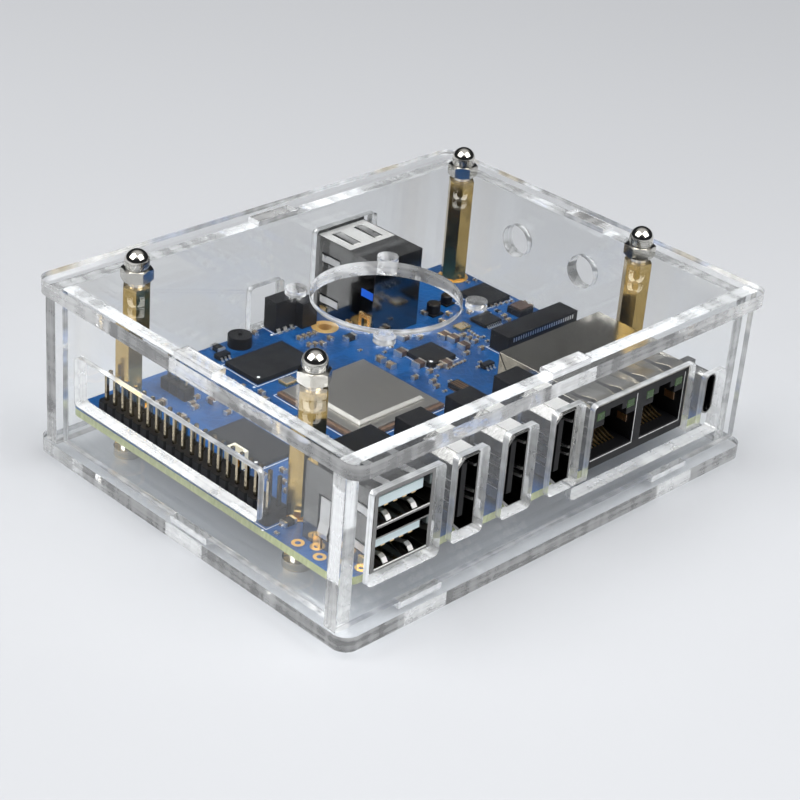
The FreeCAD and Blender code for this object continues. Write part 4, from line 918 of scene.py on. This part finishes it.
def make_bus_side():
    """A dark patch in the side of the front bus sockets that is a painted dark reflection, with a bent tab and two
    short bright tin dashes that are painted highlights.
    """
    low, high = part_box("bus_shell")
    wall = (low.x + high.x) / 2 - BUS_HALF
    painted_darkness, tabs = bmesh.new(), bmesh.new()
    # A dark patch: painted dark reflection on the shell's mirror-like side.
    add_block(painted_darkness, (wall - 0.03 * MM, low.y + 8.6 * MM, BOARD_TOP + 2.0 * MM),
              (wall, low.y + 12.4 * MM, BOARD_TOP + 10.6 * MM))
    add_strip(tabs, [(wall - 0.05 * MM, low.y + 10.5 * MM, BOARD_TOP + 10.4 * MM),
                     (wall - 0.10 * MM, low.y + 10.5 * MM, BOARD_TOP + 5.4 * MM),
                     (wall - 0.55 * MM, low.y + 10.5 * MM, BOARD_TOP + 3.6 * MM),
                     (wall - 0.40 * MM, low.y + 10.5 * MM, BOARD_TOP + 2.6 * MM)],
              (0.0, 1.0, 0.0), 2.4 * MM, 0.2 * MM)
    # Two short bright tin dashes: painted highlights of the spring slot edges.
    for height in (7.2, 11.6):
        add_block(tabs, (wall - 0.12 * MM, low.y + 6.4 * MM, BOARD_TOP + height * MM),
                  (wall, low.y + 7.9 * MM, BOARD_TOP + (height + 0.35) * MM))
    make_piece("bus_side_recess", "black_plastic", painted_darkness)
    make_piece("bus_side_tabs", "tin", tabs, edge=0.04 * MM)


def make_sound_feet():
    """Soldered feet along the front of the sound socket."""
    low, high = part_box("sound_socket")
    feet = bmesh.new()
    for share in (0.12, 0.45, 0.78):
        x = low.x + (high.x - low.x) * share
        add_strip(feet, [(x, low.y + 0.1 * MM, BOARD_TOP + 0.7 * MM), (x, low.y - 0.25 * MM, BOARD_TOP + 0.65 * MM),
                         (x, low.y - 0.45 * MM, BOARD_TOP + 0.15 * MM), (x, low.y - 1.1 * MM, BOARD_TOP + 0.1 * MM)],
                  (1.0, 0.0, 0.0), 0.9 * MM, 0.2 * MM)
    make_piece("sound_feet", "tin", feet, edge=0.04 * MM)


def make_pin_header():
    """A row of three upright pins near the rear left corner."""
    base, pins = bmesh.new(), bmesh.new()
    x, y = -31.0 * MM, 29.0 * MM
    side = PIN_PITCH / 2
    for number in (-1, 0, 1):
        place = y + number * PIN_PITCH
        add_block(base, (x - side, place - side + 0.03 * MM, BOARD_TOP),
                  (x + side, place + side - 0.03 * MM, BOARD_TOP + PIN_PITCH))
        add_block(pins, (x - PIN_HALF, place - PIN_HALF, BOARD_TOP + PIN_PITCH),
                  (x + PIN_HALF, place + PIN_HALF, BOARD_TOP + 6.0 * MM))
    make_piece("pin_header_base", "black_plastic", base, edge=0.25 * MM)
    make_piece("pin_header_pins", "pin_plate", pins, edge=0.12 * MM)


def make_card_details():
    """A row of legs and a row of contact ends along the front of the card socket, a black strip of painted shade for
    the card opening in its front and a thin black strip along its top.
    """
    low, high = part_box("card_socket")
    legs, painted_darkness = bmesh.new(), bmesh.new()
    count = 26
    for number in range(count):
        x = low.x + 1.6 * MM + (high.x - low.x - 3.2 * MM) * number / (count - 1)
        add_block(legs, (x - 0.12 * MM, low.y - 0.9 * MM, BOARD_TOP),
                  (x + 0.12 * MM, low.y + 0.1 * MM, BOARD_TOP + 0.12 * MM))
        add_block(legs, (x - 0.16 * MM, low.y - 0.06 * MM, high.z - 1.4 * MM),
                  (x + 0.16 * MM, low.y + 0.02 * MM, high.z - 0.5 * MM))
    # A black strip of painted shade in the card opening, and a thin black strip along the top.
    add_block(painted_darkness, (low.x + 1.2 * MM, low.y - 0.03 * MM, high.z - 1.55 * MM),
              (high.x - 1.2 * MM, low.y + 0.01 * MM, high.z - 0.35 * MM))
    add_block(painted_darkness, (low.x + 1.2 * MM, low.y + 0.4 * MM, high.z - 0.01 * MM),
              (high.x - 1.2 * MM, low.y + 0.6 * MM, high.z + SHADE_FILM))
    make_piece("card_legs", "tin", legs)
    make_piece("card_recess", "chip_black", painted_darkness)


def make_cable_pins():
    """Two bent pins in the cable socket."""
    low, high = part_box("cable_socket")
    mesh = bmesh.new()
    middle = (low.y + high.y) / 2
    for side in (-1, 1):
        y = middle + side * 0.625 * MM
        add_block(mesh, (low.x + 2.3 * MM, y - 0.2 * MM, low.z + 0.4 * MM),
                  (low.x + 2.7 * MM, y + 0.2 * MM, high.z - 0.5 * MM))
        add_block(mesh, (low.x - 0.6 * MM, y - 0.2 * MM, low.z), (low.x + 0.1 * MM, y + 0.2 * MM, low.z + 0.3 * MM))
    make_piece("cable_pins", "pin_plate", mesh, edge=0.04 * MM)


make_cap_nuts()
make_pads()
make_ink()
make_chip_dots()
make_solder()
make_small_parts()
make_big_coil()
make_small_chips()
make_crystals()
make_cans()
make_flat_socket()
make_bus_details("bus", FRONT)
make_bus_details("fast_bus", REAR)
for display in (1, 2, 3):
    make_display_details(display)
make_network_details()
make_fast_bus_side()
make_bus_side()
make_sound_feet()
make_pin_header()
make_card_details()
make_cable_pins()


# Floor, lamps and camera

def make_floor():
    """A wide pale floor under the object."""
    mesh = bmesh.new()
    bmesh.ops.create_circle(mesh, cap_ends=True, radius=FLOOR_RADIUS, segments=96)
    data = bpy.data.meshes.new("floor")
    mesh.to_mesh(data)
    mesh.free()
    floor = bpy.data.objects.new("floor", data)
    bpy.context.scene.collection.objects.link(floor)
    floor.location.z = cad_box[0].z
    data.materials.append(floor_finish())


def make_lamp(name, place, power):
    """A square soft lamp at a place, aimed at the object."""
    light = bpy.data.lights.new(name, "AREA")
    light.shape = "SQUARE"
    light.size = LAMP_WIDTH
    light.energy = power
    lamp = bpy.data.objects.new(name, light)
    bpy.context.scene.collection.objects.link(lamp)
    lamp.location = place
    lamp.rotation_euler = (Vector(LAMP_TARGET) - Vector(place)).to_track_quat("-Z", "Y").to_euler()


def make_sky():
    """Soft light from overhead that falls off toward the horizon, before a plain pale backdrop."""
    world = bpy.data.worlds.new("sky")
    world.use_nodes = True
    bpy.context.scene.world = world
    tree = world.node_tree
    background = tree.nodes["Background"]
    background.inputs["Strength"].default_value = SKY_STRENGTH
    place = tree.nodes.new("ShaderNodeTexCoord")
    split = tree.nodes.new("ShaderNodeSeparateXYZ")
    tree.links.new(place.outputs["Generated"], split.inputs["Vector"])
    shade = blend_colours(tree, split.outputs["Z"], SKY_LOW, SKY_HIGH, 0.6, 0.95)
    light = tree.nodes.new("ShaderNodeLightPath")
    backdrop = tree.nodes.new("ShaderNodeMix")
    backdrop.data_type = "RGBA"
    backdrop.inputs["B"].default_value = BACKDROP
    through = maths(tree, "MULTIPLY", light.outputs["Is Transmission Ray"],
                    spread(tree, light.outputs["Glossy Depth"], 1.0, 0.08, 0.0, 1.0))
    seen = maths(tree, "MAXIMUM", light.outputs["Is Camera Ray"], through)
    tree.links.new(seen, backdrop.inputs["Factor"])
    tree.links.new(shade, backdrop.inputs["A"])
    tree.links.new(backdrop.outputs["Result"], background.inputs["Color"])


def make_camera():
    """The camera where the photographer stood."""
    data = bpy.data.cameras.new("camera")
    data.lens = CAMERA_LENS_MM
    data.sensor_width = CAMERA_SENSOR_MM
    data.clip_start = 0.01
    data.clip_end = 50.0
    camera = bpy.data.objects.new("camera", data)
    bpy.context.scene.collection.objects.link(camera)
    right = Vector(CAMERA_RIGHT).normalized()
    up = -Vector(CAMERA_DOWN).normalized()
    back = right.cross(up).normalized()
    up = back.cross(right)
    turn = Matrix((right, up, back)).transposed()
    camera.matrix_world = Matrix.Translation(CAMERA_PLACE) @ turn.to_4x4()
    bpy.context.scene.camera = camera


make_floor()
make_sky()
make_lamp("left_lamp", LEFT_LAMP, LEFT_LAMP_POWER)
make_lamp("right_lamp", RIGHT_LAMP, RIGHT_LAMP_POWER)
make_camera()
bpy.context.scene.view_settings.view_transform = "Standard"
